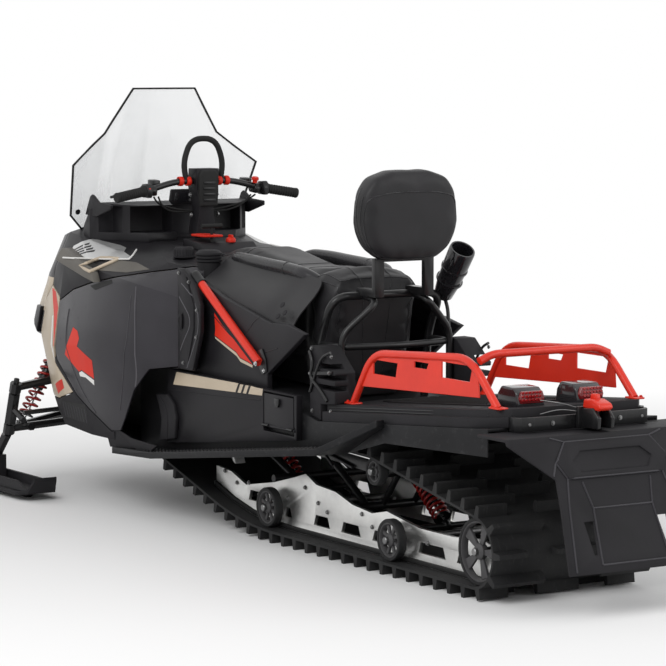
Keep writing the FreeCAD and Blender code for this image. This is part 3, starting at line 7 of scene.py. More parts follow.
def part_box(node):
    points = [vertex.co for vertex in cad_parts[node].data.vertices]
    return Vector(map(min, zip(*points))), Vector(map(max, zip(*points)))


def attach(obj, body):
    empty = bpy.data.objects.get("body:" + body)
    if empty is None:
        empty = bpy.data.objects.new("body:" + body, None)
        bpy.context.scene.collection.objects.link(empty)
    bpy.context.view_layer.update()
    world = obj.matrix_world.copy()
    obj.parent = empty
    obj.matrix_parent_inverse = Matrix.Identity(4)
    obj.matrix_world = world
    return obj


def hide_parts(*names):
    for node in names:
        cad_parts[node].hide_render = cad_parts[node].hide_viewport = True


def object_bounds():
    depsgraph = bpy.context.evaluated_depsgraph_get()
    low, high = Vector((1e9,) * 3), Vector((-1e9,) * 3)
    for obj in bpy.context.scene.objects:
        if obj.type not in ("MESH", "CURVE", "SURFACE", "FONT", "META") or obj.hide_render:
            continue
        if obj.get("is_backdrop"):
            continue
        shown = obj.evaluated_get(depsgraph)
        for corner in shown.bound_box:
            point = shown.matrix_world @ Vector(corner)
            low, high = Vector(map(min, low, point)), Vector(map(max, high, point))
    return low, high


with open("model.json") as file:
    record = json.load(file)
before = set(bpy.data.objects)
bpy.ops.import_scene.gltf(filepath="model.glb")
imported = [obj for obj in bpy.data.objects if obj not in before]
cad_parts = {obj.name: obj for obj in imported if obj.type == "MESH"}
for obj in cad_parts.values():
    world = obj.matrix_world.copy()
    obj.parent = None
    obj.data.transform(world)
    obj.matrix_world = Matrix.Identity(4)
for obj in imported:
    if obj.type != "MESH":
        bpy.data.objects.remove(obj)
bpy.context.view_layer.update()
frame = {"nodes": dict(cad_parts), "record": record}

rearAxle = 1.35  # the frame's origin lies this far ahead of the rear axle
sides = ((1, ".left"), (-1, ".right"))
sideWords = ((1, "Left"), (-1, "Right"))
print("frame loaded")

# the camera stands behind the left rear corner, at the photograph's angle
shotCamera = {"heading": 31.657285, "tilt": -5.482209, "place": (-6.724996 - rearAxle, 4.896295, 1.556521),
    "focal": 2862.51 / 666 * 36.0, "sensor": 36.0, "reach": 100.0}


def linked(name, data):
    # an object in the scene, round a mesh, curve, lamp or camera
    item = bpy.data.objects.new(name, data)
    bpy.context.scene.collection.objects.link(item)
    return item


def aimed(item, place, look):
    turn = look.to_track_quat("-Z", "Y").to_matrix().to_4x4()
    item.matrix_world = Matrix.Translation(Vector(place)) @ turn
    return item


def setCamera(shot):
    heading = math.radians(-shot["heading"])
    tilt = math.radians(shot["tilt"])
    look = Vector((math.cos(heading) * math.cos(tilt), math.sin(heading) * math.cos(tilt), math.sin(tilt)))
    data = bpy.data.cameras.new("studioCamera")
    data.lens = shot["focal"]
    data.sensor_width = shot["sensor"]
    data.clip_end = shot["reach"]
    bpy.context.scene.camera = aimed(linked("studioCamera", data), shot["place"], look)


setCamera(shotCamera)


# materials: a wire wraps a socket, so that sums on wires add their Math nodes
class Wire:
    def __init__(self, finish, socket):
        self.finish = finish
        self.socket = socket

    def join(self, operation, left, right):
        return self.finish.node("ShaderNodeMath", {"operation": operation}, {0: left, 1: right})

    def __add__(self, other):
        return self.join("ADD", self, other)

    def __radd__(self, other):
        return self.join("ADD", other, self)

    def __sub__(self, other):
        return self.join("SUBTRACT", self, other)

    def __rsub__(self, other):
        return self.join("SUBTRACT", other, self)

    def __mul__(self, other):
        return self.join("MULTIPLY", self, other)

    def __rmul__(self, other):
        return self.join("MULTIPLY", other, self)


class Finish:
    def __init__(self, name, **constants):
        self.material = bpy.data.materials.new(name)
        self.material.use_nodes = True
        self.tree = self.material.node_tree
        self.shader = self.tree.nodes["Principled BSDF"]
        for label, value in constants.items():
            self.feed(self.shader.inputs[label.replace("_", " ")], value)

    def feed(self, socket, value):
        # a wire is linked, a colour gets its alpha, and a number or a scale goes in as it is
        if isinstance(value, Wire):
            self.tree.links.new(value.socket, socket)
        else:
            socket.default_value = (*value, 1.0) if socket.type == "RGBA" else value

    def node(self, kind, settings=None, sockets=None, output=0):
        made = self.tree.nodes.new(kind)
        for key, value in (settings or {}).items():
            setattr(made, key, value)
        for key, value in (sockets or {}).items():
            self.feed(made.inputs[key], value)
        return Wire(self, made.outputs[output])

    def place(self):
        return self.node("ShaderNodeTexCoord", output="Object")

    def noise(self, scale, detail=3.0, roughness=0.5, stretch=None):
        where = self.place()
        if stretch:
            where = self.node("ShaderNodeMapping", None, {"Vector": where, "Scale": stretch})
        return self.node("ShaderNodeTexNoise", None, {"Vector": where, "Scale": scale, "Detail": detail,
            "Roughness": roughness}, "Fac")

    def ramp(self, wire, low, high):
        # low and high are pairs: the value that comes in and the one that goes out
        return self.node("ShaderNodeMapRange", None, {"Value": wire, "From Min": low[0],
            "From Max": high[0], "To Min": low[1], "To Max": high[1]}, "Result")

    def blend(self, mask, first, second):
        return self.node("ShaderNodeMix", {"data_type": "RGBA"}, {0: mask, 6: first, 7: second}, 2)

    def drive(self, label, wire):
        self.feed(self.shader.inputs[label], wire)

    def bump(self, height, strength, distance):
        self.drive("Normal", self.node("ShaderNodeBump", None,
            {"Height": height, "Strength": strength, "Distance": distance}))

    def mixed(self, mask, second):
        # the whole surface fades from the shader to a second one
        both = self.node("ShaderNodeMixShader", None, {0: mask, 1: Wire(self, self.shader.outputs[0]),
            2: second})
        self.feed(self.tree.nodes["Material Output"].inputs["Surface"], both)


# moulded plastics and paints share a recipe: drifting tone, fine grain, scuffs where they are handled
mouldedRecipe = {"coat": 0.0, "coatRough": 0.2, "metal": 0.0, "shine": 0.22, "wear": 0.25, "grain": 900.0,
    "bump": 0.12, "depth": 0.0004}


def mouldedFinish(name, dark, light, rough, changes):
    look = {**mouldedRecipe, "worn": light, **changes}
    finish = Finish(name, IOR=1.48, Coat_Weight=look["coat"], Coat_Roughness=look["coatRough"],
        Metallic=look["metal"], Specular_IOR_Level=look["shine"])
    drift = finish.noise(6.0, 4.0, 0.55)
    fine = finish.noise(look["grain"], 2.0, 0.6)
    scuff = finish.ramp(finish.noise(38.0, 6.0, 0.7, (1.0, 2.5, 1.0)), (0.56, 0.0), (0.78, 1.0))
    tone = finish.blend(finish.ramp(drift, (0.3, 0.0), (0.7, 1.0)), dark, light)
    finish.drive("Base Color", finish.blend(scuff * look["wear"], tone, look["worn"]))
    drifted = finish.ramp(drift, (0.3, rough - 0.05), (0.7, rough + 0.06))
    finish.drive("Roughness", drifted + scuff * 0.12 + fine * 0.06)
    finish.bump(fine, look["bump"], look["depth"])
    return finish.material


# dark tone, light tone, roughness, and what differs from the common recipe
mouldedLooks = {
    "plasticBlack": ((0.008, 0.0075, 0.0088), (0.016, 0.015, 0.0175), 0.4,
        {"wear": 0.2, "worn": (0.045, 0.043, 0.046)}),
    "plasticTextured": ((0.009, 0.0085, 0.0098), (0.018, 0.017, 0.0195), 0.58,
        {"grain": 520.0, "bump": 0.35, "depth": 0.0007}),
    "panelGrey": ((0.017, 0.0155, 0.0195), (0.027, 0.025, 0.0305), 0.34,
        {"coat": 0.25, "grain": 1300.0, "bump": 0.05}),
    "panelTan": ((0.47, 0.39, 0.29), (0.55, 0.46, 0.35), 0.38,
        {"coat": 0.3, "worn": (0.36, 0.30, 0.23), "wear": 0.12, "grain": 1300.0, "bump": 0.05}),
    "paintRed": ((0.64, 0.024, 0.010), (0.76, 0.036, 0.015), 0.34,
        {"coat": 0.35, "worn": (0.42, 0.04, 0.02), "wear": 0.15, "grain": 1500.0, "bump": 0.05}),
    "springRed": ((0.27, 0.010, 0.008), (0.40, 0.016, 0.012), 0.3,
        {"coat": 0.5, "worn": (0.12, 0.02, 0.02), "bump": 0.05}),
    "frameBlack": ((0.007, 0.007, 0.0076), (0.014, 0.014, 0.0148), 0.33,
        {"coat": 0.3, "worn": (0.10, 0.10, 0.10), "wear": 0.18, "grain": 1600.0, "bump": 0.06}),
    "tunnelBlack": ((0.008, 0.008, 0.009), (0.016, 0.016, 0.0175), 0.4,
        {"metal": 0.2, "worn": (0.12, 0.12, 0.12), "wear": 0.3}),
    "engineMetal": ((0.10, 0.10, 0.10), (0.2, 0.2, 0.2), 0.5, {"metal": 0.8}),
    "lampRed": ((0.30, 0.008, 0.010), (0.38, 0.012, 0.014), 0.12,
        {"coat": 1.0, "coatRough": 0.05, "wear": 0.0, "bump": 0.02}),
    "trackRubber": ((0.012, 0.012, 0.013), (0.030, 0.030, 0.030), 0.66,
        {"wear": 0.5, "worn": (0.075, 0.073, 0.07), "grain": 420.0, "bump": 0.3, "depth": 0.0008}),
    "gripRubber": ((0.014, 0.014, 0.014), (0.024, 0.024, 0.024), 0.7,
        {"grain": 700.0, "bump": 0.4, "depth": 0.0006}),
    "bodyGloss": ((0.012, 0.012, 0.014), (0.022, 0.021, 0.024), 0.16,
        {"coat": 0.8, "coatRough": 0.08, "wear": 0.1}),
    "scoopGrey": ((0.10, 0.093, 0.082), (0.14, 0.13, 0.115), 0.42, {"wear": 0.1}),
    # a lighter copy of the textured plastic: painted highlight along the belly ribs and the snow flap's
    # folds
    "flapPaintedSheen": ((0.026, 0.025, 0.029), (0.045, 0.043, 0.049), 0.34, {"wear": 0.1}),
    # a lighter copy of the panel tone: painted highlight for the rolled edges laid on the side and vent
    # panels
    "panelPaintedSheen": ((0.075, 0.072, 0.08), (0.10, 0.097, 0.106), 0.34, {"wear": 0.1}),
    "silverTrim": ((0.55, 0.55, 0.55), (0.68, 0.68, 0.67), 0.3, {"metal": 0.7, "wear": 0.1}),
    "boltSteel": ((0.16, 0.16, 0.16), (0.3, 0.3, 0.3), 0.35, {"metal": 0.9, "shine": 0.5}),
    "chrome": ((0.62, 0.62, 0.62), (0.72, 0.72, 0.72), 0.14,
        {"metal": 1.0, "wear": 0.05, "bump": 0.02, "shine": 0.5}),
    "wheelGrey": ((0.055, 0.054, 0.056), (0.085, 0.083, 0.085), 0.5,
        {"wear": 0.3, "worn": (0.14, 0.135, 0.13)}),
    # the slides' own dark plastic, also laid as painted shade in openings: louvres, scoop mouths, slots and
    # slits
    "slideDarkAndOpeningShade": ((0.012, 0.012, 0.012), (0.02, 0.02, 0.02), 0.5, {}),
    "ledDark": ((0.16, 0.004, 0.006), (0.20, 0.006, 0.008), 0.1,
        {"coat": 0.6, "coatRough": 0.05, "wear": 0.0, "bump": 0.02, "shine": 0.5}),
    "tapeRed": ((0.60, 0.022, 0.010), (0.68, 0.032, 0.014), 0.36,
        {"wear": 0.08, "worn": (0.5, 0.05, 0.03), "bump": 0.03}),
    "stripeWhite": ((0.72, 0.71, 0.69), (0.8, 0.79, 0.77), 0.4, {"wear": 0.1}),
}
finishes = {name: mouldedFinish(name, *look) for name, look in mouldedLooks.items()}


def railMetal():
    # extruded aluminium: fine lines drawn along the rail, duller patches between them
    finish = Finish("railMetal", Metallic=1.0, IOR=1.45)
    lines = finish.noise(60.0, 5.0, 0.6, (1.0, 30.0, 30.0))
    patches = finish.ramp(finish.noise(9.0, 4.0, 0.6), (0.3, 0.0), (0.72, 1.0))
    finish.drive("Base Color", finish.blend(patches, (0.60, 0.60, 0.59), (0.80, 0.80, 0.78)))
    finish.drive("Roughness", finish.ramp(lines, (0.3, 0.26), (0.7, 0.42)))
    finish.bump(lines, 0.12, 0.0003)
    return finish.material


def screenClear():
    # clear sheet that greys towards its edge-on parts, with faint wiping marks
    finish = Finish("screenClear", IOR=1.5, Base_Color=(0.80, 0.83, 0.85))
    edge = finish.node("ShaderNodeLayerWeight", None, {"Blend": 0.35}, "Facing")
    haze = finish.noise(5.0, 3.0, 0.5)
    finish.drive("Alpha", finish.ramp(edge, (0.0, 0.13), (1.0, 0.62)) + finish.ramp(haze, (0.35, 0.0), (0.8,
        0.05)))
    finish.drive("Roughness", finish.ramp(haze, (0.3, 0.04), (0.8, 0.12)))
    return finish.material


def seatVinyl(name, dark, light, rough):
    # pressed grain over a slow change of tone where the cover is stretched
    finish = Finish(name, IOR=1.5, Sheen_Weight=0.04, Specular_IOR_Level=0.32)
    pores = finish.node("ShaderNodeTexVoronoi", None, {"Vector": finish.place(), "Scale": 420.0},
        "Distance")
    slow = finish.noise(7.0, 3.0, 0.5)
    finish.drive("Base Color", finish.blend(finish.ramp(slow, (0.3, 0.0), (0.7, 1.0)), dark, light))
    finish.drive("Roughness", finish.ramp(slow, (0.3, rough - 0.05), (0.7, rough + 0.08)) - pores * 0.08)
    finish.bump(pores * 0.8 + finish.noise(1400.0) * 0.2, 0.3, 0.0005)
    return finish.material


def noseTwoTone():
    # tan brow over a dark chin: the line lies at the lamps' upper edge
    finish = Finish("noseTwoTone", IOR=1.48, Specular_IOR_Level=0.3, Coat_Weight=0.15)
    height = finish.node("ShaderNodeSeparateXYZ", None, {0: finish.place()}, "Z")
    brow = finish.ramp(height, (0.648, 0.0), (0.650, 1.0)) * finish.ramp(height, (0.772, 1.0), (0.774, 0.0))
    drift = finish.ramp(finish.noise(6.0, 4.0, 0.55), (0.3, 0.0), (0.7, 1.0))
    dark = finish.blend(drift, (0.018, 0.017, 0.019), (0.034, 0.032, 0.036))
    tan = finish.blend(drift, (0.47, 0.39, 0.29), (0.55, 0.46, 0.35))
    finish.drive("Base Color", finish.blend(brow, dark, tan))
    finish.drive("Roughness", 0.36 + drift * 0.1)
    finish.bump(finish.noise(1300.0, 2.0, 0.6), 0.06, 0.0004)
    return finish.material


finishes["noseTwoTone"] = noseTwoTone()
finishes["railMetal"] = railMetal()
finishes["screenClear"] = screenClear()
finishes["seatVinyl"] = seatVinyl("seatVinyl", (0.007, 0.0068, 0.0078), (0.015, 0.0142, 0.0162), 0.5)
finishes["seatGloss"] = seatVinyl("seatGloss", (0.012, 0.012, 0.013), (0.022, 0.021, 0.024), 0.3)
print("finishes ready")

nodeBody = {node: body for body, nodes in frame["record"]["behaviour"]["bodies"].items() for node in nodes}


def spot(x, y, z):
    # a place measured in millimetres ahead of the rear axle
    return Vector((x / 1000 - rearAxle, y / 1000, z / 1000))


def measured(place):
    # the same place, back in millimetres ahead of the rear axle
    return (place[0] + rearAxle) * 1000, place[1] * 1000, place[2] * 1000


def nothing():
    # leave edit mode and select nothing
    if bpy.context.mode != "OBJECT":
        bpy.ops.object.mode_set(mode="OBJECT")
    bpy.ops.object.select_all(action="DESELECT")


def only(piece):
    nothing()
    piece.select_set(True)
    bpy.context.view_layer.objects.active = piece


def editAll(piece, select="SELECT"):
    only(piece)
    bpy.ops.object.mode_set(mode="EDIT")
    bpy.ops.mesh.select_all(action=select)


def frozen(piece):
    only(piece)
    bpy.ops.object.transform_apply(location=True, rotation=True, scale=True)
    return piece


def settle(piece, finish, body="chassis", smooth=40.0):
    frozen(piece)
    if smooth:
        bpy.ops.object.shade_smooth_by_angle(angle=math.radians(smooth))
    piece.data.materials.clear()
    piece.data.materials.append(finishes[finish])
    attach(piece, body)
    return piece


def copyNode(node, name, flat=0.6):
    # a CAD node's mesh, its loose triangles merged and its flat faces made whole
    piece = linked(name, frame["nodes"][node].data.copy())
    editAll(piece)
    bpy.ops.mesh.remove_doubles(threshold=0.00002)
    if flat:
        bpy.ops.mesh.dissolve_limited(angle_limit=math.radians(flat))
    nothing()
    return piece


def applied(piece, kind, **settings):
    # add a modifier, set it and apply it
    only(piece)
    step = piece.modifiers.new(kind.lower(), kind)
    for key, value in settings.items():
        setattr(step, key, value)
    bpy.ops.object.modifier_apply(modifier=step.name)
    return piece


def roundEdges(piece, width, segments=2, angle=30.0):
    return applied(piece, "BEVEL", width=width, segments=segments, limit_method="ANGLE",
        angle_limit=math.radians(angle), use_clamp_overlap=True)


def outward(piece, merge=0.00001):
    editAll(piece)
    bpy.ops.mesh.remove_doubles(threshold=merge)
    bpy.ops.mesh.dissolve_degenerate(threshold=merge)
    bpy.ops.mesh.select_all(action="SELECT")
    bpy.ops.mesh.normals_make_consistent(inside=False)
    nothing()
    return piece


def faceTo(piece, wanted):
    # an open sheet looks the way that is wanted
    facing = sum((face.normal * face.area for face in piece.data.polygons), Vector())
    if facing.dot(Vector(wanted)) < 0:
        piece.data.flip_normals()


def joined(name, pieces):
    nothing()
    for piece in pieces:
        piece.select_set(True)
    bpy.context.view_layer.objects.active = pieces[0]
    if len(pieces) > 1:
        bpy.ops.object.join()
    pieces[0].name = name
    return pieces[0]


def twin(piece, name="twin"):
    # a copy on the other side of the middle plane, with a mesh of its own
    other = linked(name, piece.data.copy())
    other.data.transform(Matrix.Scale(-1, 4, (0, 1, 0)))
    other.data.flip_normals()
    return other


def finished(name, pieces, finish, body="chassis", node=None, both=False, smooth=40.0):
    # the parts of one piece, joined, mirrored where both is set, and given finish, body and node
    whole = joined(name, pieces)
    if both:
        whole = joined(name, [whole, twin(whole)])
    settle(whole, finish, body, smooth)
    if node:
        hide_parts(node)
    return whole


def copyAt(piece, matrix):
    other = linked("copy", piece.data.copy())
    other.data.transform(matrix)
    return other


def cornerPoint(plane, level, pair):
    a, b = pair
    if plane == "xz":
        return spot(a, level, b)
    if plane == "yz":
        return spot(level, a, b)
    return spot(a, b, level)


def outline(places, fill="NGON"):
    # a circle whose points are moved to their places
    nothing()
    bpy.ops.mesh.primitive_circle_add(vertices=len(places), radius=0.05, fill_type=fill)
    piece = bpy.context.object
    for vertex, place in zip(piece.data.vertices, places):
        vertex.co = place
    return piece


def plate(corners, plane, near, far, edge=0.0, segments=2):
    # a flat outline in one plane, drawn out from near to far
    piece = outline([cornerPoint(plane, near, pair) for pair in corners])
    step = cornerPoint(plane, far, corners[0]) - cornerPoint(plane, near, corners[0])
    editAll(piece)
    bpy.ops.mesh.extrude_region_move(TRANSFORM_OT_translate={"value": tuple(step)})
    outward(piece)
    if edge:
        roundEdges(piece, edge / 1000, segments)
    return piece


def turned(profile, centre, axis=(0, 1, 0), steps=32):
    # a closed profile of radius and height pairs, spun round an axis
    middle = spot(*centre)
    along = Vector(axis).normalized()
    across = along.orthogonal().normalized()
    piece = outline([middle + across * (radius / 1000) + along * (height / 1000) for radius,
        height in profile], "NOTHING")
    editAll(piece)
    bpy.ops.mesh.spin(steps=steps, angle=2 * math.pi, center=tuple(middle), axis=tuple(along))
    return outward(piece)


def softCorners(points, bend, steps=6):
    # a bent tube's middle line: each corner becomes a short arc
    line = [points[0]]
    for before, corner, after in zip(points, points[1:], points[2:]):
        reach = min(bend, (corner - before).length * 0.49, (after - corner).length * 0.49)
        start = corner + (before - corner).normalized() * reach
        end = corner + (after - corner).normalized() * reach
        for i in range(steps + 1):
            t = i / steps
            line.append(start * (1 - t) ** 2 + corner * (2 * t * (1 - t)) + end * t ** 2)
    return line + [points[-1]]


def roundBar(line, radius, resolution, closed=False):
    # a round bar along a line of places, made a mesh
    data = bpy.data.curves.new("bar", "CURVE")
    data.dimensions = "3D"
    data.bevel_depth = radius / 1000
    data.bevel_resolution = resolution
    data.use_fill_caps = True
    spline = data.splines.new("POLY")
    spline.points.add(len(line) - 1)
    for point, place in zip(spline.points, line):
        point.co = (*place, 1.0)
    spline.use_cyclic_u = closed
    only(linked("bar", data))
    bpy.ops.object.convert(target="MESH")
    return bpy.context.object


def bent(points, radius, bend=30.0, resolution=3, closed=False):
    return roundBar(softCorners([spot(*point) for point in points], bend / 1000), radius, resolution,
        closed)


def coilSpring(low, high, radius, wire, turns, steps=26):
    nothing()
    bpy.ops.mesh.primitive_circle_add(vertices=8, radius=wire / 1000, fill_type="NOTHING",
        location=(radius / 1000, 0, 0), rotation=(math.pi / 2, 0, 0))
    piece = frozen(bpy.context.object)
    span = high - low
    applied(piece, "SCREW", steps=steps, render_steps=steps, iterations=turns,
        screw_offset=span.length / turns, axis="Z")
    editAll(piece)
    bpy.ops.mesh.fill_holes(sides=0)
    outward(piece)
    piece.data.transform(Matrix.Translation(low) @ span.to_track_quat("Z", "Y").to_matrix().to_4x4())
    return piece


def boltTemplate():
    # a flanged hexagon head, 10 mm across at the flange, standing on the ground plane
    nothing()
    bpy.ops.mesh.primitive_cylinder_add(vertices=16, radius=0.005, depth=0.0012, location=(0, 0, 0.0006))
    flange = bpy.context.object
    editAll(flange, "DESELECT")
    nothing()
    for face in flange.data.polygons:
        face.select = face.normal.z > 0.9
    only(flange)
    bpy.ops.object.mode_set(mode="EDIT")
    bpy.ops.mesh.inset(thickness=0.0006)
    nothing()
    bpy.ops.mesh.primitive_cylinder_add(vertices=6, radius=0.0036, depth=0.003, location=(0, 0, 0.0026))
    head = frozen(roundEdges(bpy.context.object, 0.0004, 1))
    return joined("boltTemplate", [frozen(flange), head])


def bolts(name, places, finish="boltSteel", body="chassis"):
    # left side places: x, y, z in millimetres, the way the head looks, and its size against 10 mm
    heads = []
    for x, y, z, look, size in places:
        for side in (1, -1):
            turn = Vector((look[0], look[1] * side, look[2])).to_track_quat("Z", "Y").to_matrix().to_4x4()
            stand = Matrix.Translation(spot(x, y * side, z)) @ turn @ Matrix.Scale(size, 4)
            heads.append(copyAt(template, stand))
    return finished(name, heads, finish, body, smooth=30.0)


def decal(name, corners, side, node, finish, plane="xz", lift=0.5, cuts=4):
    # a thin film laid on a panel: an outline, cut fine and pressed on to the panel from outside
    piece = outline([cornerPoint(plane, side, pair) for pair in corners])
    piece.name = name
    editAll(piece)
    bpy.ops.mesh.quads_convert_to_tris(quad_method="BEAUTY", ngon_method="BEAUTY")
    for _ in range(cuts):
        bpy.ops.mesh.subdivide(number_cuts=1)
    nothing()
    flat = [vertex.co.copy() for vertex in piece.data.vertices]
    applied(piece, "SHRINKWRAP", target=bpy.data.objects[node + ".dressed"], wrap_method="PROJECT",
        offset=lift / 1000, wrap_mode="ABOVE_SURFACE", use_negative_direction=True,
        use_positive_direction=True, project_limit=0.24, use_project_x=plane == "yz",
        use_project_y=plane == "xz", use_project_z=plane == "xy")
    # what missed the panel is cut off
    missed = [i for i, place in enumerate(flat) if (piece.data.vertices[i].co - place).length < 0.00001]
    if missed and len(missed) < len(flat):
        for part in (piece.data.polygons, piece.data.edges, piece.data.vertices):
            part.foreach_set("select", [False] * len(part))
        for i in missed:
            piece.data.vertices[i].select = True
        only(piece)
        bpy.ops.object.mode_set(mode="EDIT")
        bpy.ops.mesh.select_mode(type="VERT")
        bpy.ops.mesh.delete(type="VERT")
        nothing()
    faceTo(piece, (0, 0, 1) if plane == "xy" else (0, side, 0))
    return settle(piece, finish, smooth=30.0)


# CAD nodes whose shape is right get rounded edges and a finish: finish, edge width in millimetres, nodes
dressing = (
    ("plasticBlack", 3, "tunnel_panels hood dash headlamps side_fairings"),
    ("plasticBlack", 2, "hatch_door vent_panels"),
    ("plasticBlack", 4, "console steering_riser"),
    ("plasticTextured", 3, "belly_pan ski_left ski_right frame_brackets cargo_platform snow_flap"),
    ("plasticTextured", 1, "drive_axle"),
    ("frameBlack", 0, "steering_column front_arms tie_rods spindle_left spindle_right"),
    ("frameBlack", 1, "backrest_frame rear_bumper"),
    ("tunnelBlack", 1.5, "tunnel"),
    ("tunnelBlack", 2, "running_boards"),
    ("tunnelBlack", 3, "bulkhead"),
    ("panelGrey", 3, "side_panels"),
    ("panelTan", 3, "nose_blades"),
    ("noseTwoTone", 4, "nose_cone"),
    ("scoopGrey", 3, "scoops"),
    ("engineMetal", 4, "engine"),
    ("railMetal", 1, "skid_rails"),
)
for finish, width, nodes in dressing:
    for node in nodes.split():
        piece = copyNode(node, node + ".dressed")
        if width:
            roundEdges(piece, width / 1000)
        settle(piece, finish, nodeBody[node])
        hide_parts(node)
trackMesh = frame["nodes"]["track"].data
trackMesh.materials.clear()
trackMesh.materials.append(finishes["trackRubber"])
template = boltTemplate()
print("nodes dressed")

# skid: wheels with spoked caps, their axles, and the links of the carrier wheels
wheelSets = {
    "idler": {"place": (0.0, 140.0), "radius": 100.0, "spokes": 5, "hub": 24.0, "inner": (164.0, 60.0)},
    "bogieFront": {"place": (1207.0, 107.5), "radius": 65.0, "spokes": 8, "hub": 20.0},
    "bogieRear": {"place": (476.0, 105.0), "radius": 65.0, "spokes": 8, "hub": 20.0},
    "carrier": {"place": (560.0, 304.0), "radius": 44.0, "spokes": 6, "hub": 14.0},
}
wheelHalf = 14.0
wheelMiddle = 261.0 - wheelHalf  # the outer wheels' faces stand 261 mm from the middle plane
innerHub = 22.0


def wheelTyre(x, z, radius, middle):
    outer = radius - 0.5
    return turned([(outer - 11, -wheelHalf), (outer - 2, -wheelHalf), (outer, -10), (outer, 10),
        (outer - 2, wheelHalf), (outer - 11, wheelHalf)], (x, middle, z), steps=48)


def wheelCap(x, z, radius, hub, spokes, middle):
    rim = radius - 11.5
    pieces = [turned([(rim, -12), (rim, 12), (rim - 4, 12), (rim - 7, 5), (rim - 7, -5), (rim - 4, -12)],
        (x, middle, z), steps=48), turned([(0, -12), (hub - 4, -12), (hub, -6), (hub, 9), (hub - 5, 14),
        (11, 16), (9, 19), (0, 19)], (x, middle, z), steps=32)]
    wide = math.pi / spokes
    for i in range(spokes):
        turn = 2 * wide * (i + 0.5)
        corners = [(x + reach * math.cos(turn + wide * share),
            z + reach * math.sin(turn + wide * share)) for reach,
            share in ((hub - 2, -0.55), (rim - 6, -0.34), (rim - 6, 0.34), (hub - 2, 0.55))]
        pieces.append(plate(corners, "xz", middle - 4, middle + 5, 1.2, 1))
    return joined("cap", pieces)


tyres, caps, rods = [], [], []
for wheel in wheelSets.values():
    x, z = wheel["place"]
    tyres.append(wheelTyre(x, z, wheel["radius"], wheelMiddle))
    caps.append(wheelCap(x, z, wheel["radius"], wheel["hub"], wheel["spokes"], wheelMiddle))
    rods.append(turned([(0, -275), (9, -275), (11, -273), (11, 273), (9, 275), (0, 275)], (x, 0, z),
        steps=24))
    for inner in wheel.get("inner", ()):
        tyres.append(wheelTyre(x, z, wheel["radius"], inner))
        caps.append(wheelCap(x, z, wheel["radius"], innerHub, wheel["spokes"], inner))
finished("wheelTyres", tyres, "trackRubber", node="skid_wheels", both=True)
finished("wheelCaps", caps, "wheelGrey", node="skid_wheels", both=True)
finished("wheelAxles", rods, "boltSteel")
link = plate([(540, 292), (546, 318), (572, 324), (1104, 346), (1134, 340), (1138, 320), (1110, 312),
    (575, 284)], "xz", 213, 221, 2.0)
finished("carrierLinks", [link], "frameBlack", node="skid_wheels", both=True)
print("wheels made")

# springs and dampers: chrome shaft, black body, seats and a wound coil
springs = {"coil": 25.0, "wire": 4.6}


def shock(name, low, high, turns, seats, node, both=False):
    lowPlace, highPlace = spot(*low), spot(*high)
    along = (highPlace - lowPlace).normalized()
    length = (highPlace - lowPlace).length * 1000
    coil = springs["coil"]
    shaft = turned([(0, 0), (6, 0), (6, length * 0.6), (0, length * 0.6)], low, along, 24)
    parts = [turned([(0, length * 0.45), (15, length * 0.45), (17, length * 0.47), (17, length * 0.93),
        (12, length), (0, length)], low, along, 32), turned([(0, -6), (11, -6), (13, -3), (13, 12), (8, 20),
        (0, 20)], low, along, 24)]
    for share, flip in zip(seats, (1, -1)):
        at = length * share
        parts.append(turned([(8, at - 3 * flip), (coil + 3, at - 3 * flip), (coil + 4, at + flip),
            (coil - 4, at + 4 * flip), (8, at + 6 * flip)], low, along, 36))
    spring = coilSpring(lowPlace.lerp(highPlace, seats[0]), lowPlace.lerp(highPlace, seats[1]), coil,
        springs["wire"], turns)
    for part, pieces, finish, smooth in ((".shaft", [shaft], "chrome", 40.0),
            (".body", parts, "frameBlack", 40.0), (".coil", [spring], "springRed", 60.0)):
        piece = finished(name + part, pieces, finish, node=node, smooth=smooth)
        if both:
            finished(name + part + ".right", [twin(piece)], finish, node=node, smooth=smooth)


shock("frontShock", (2700, 420, 232), (2700, 272, 498), 9, (0.12, 0.86), "front_shocks", both=True)
shock("skidShockFront", (1410, 0, 118), (1628, 0, 326), 8, (0.16, 0.84), "skid_shocks")
shock("skidShockRear", (545, 0, 118), (712, 0, 259), 8, (0.16, 0.84), "skid_shocks")
feet = [bent([(x, -199.6, 118), (x, 199.6, 118)], 9.0) for x in (1410, 545)]
finished("shockFeet", feet, "frameBlack", node="skid_shocks")
print("shocks made")


def across(*half):
    # a line across the sled: the left half's points, then the same on the right
    return list(half) + [(x, -y, z) for x, y, z in half[::-1]]


def beside(*line):
    # the same line on the left and on the right
    return [list(line), [(x, -y, z) for x, y, z in line]]


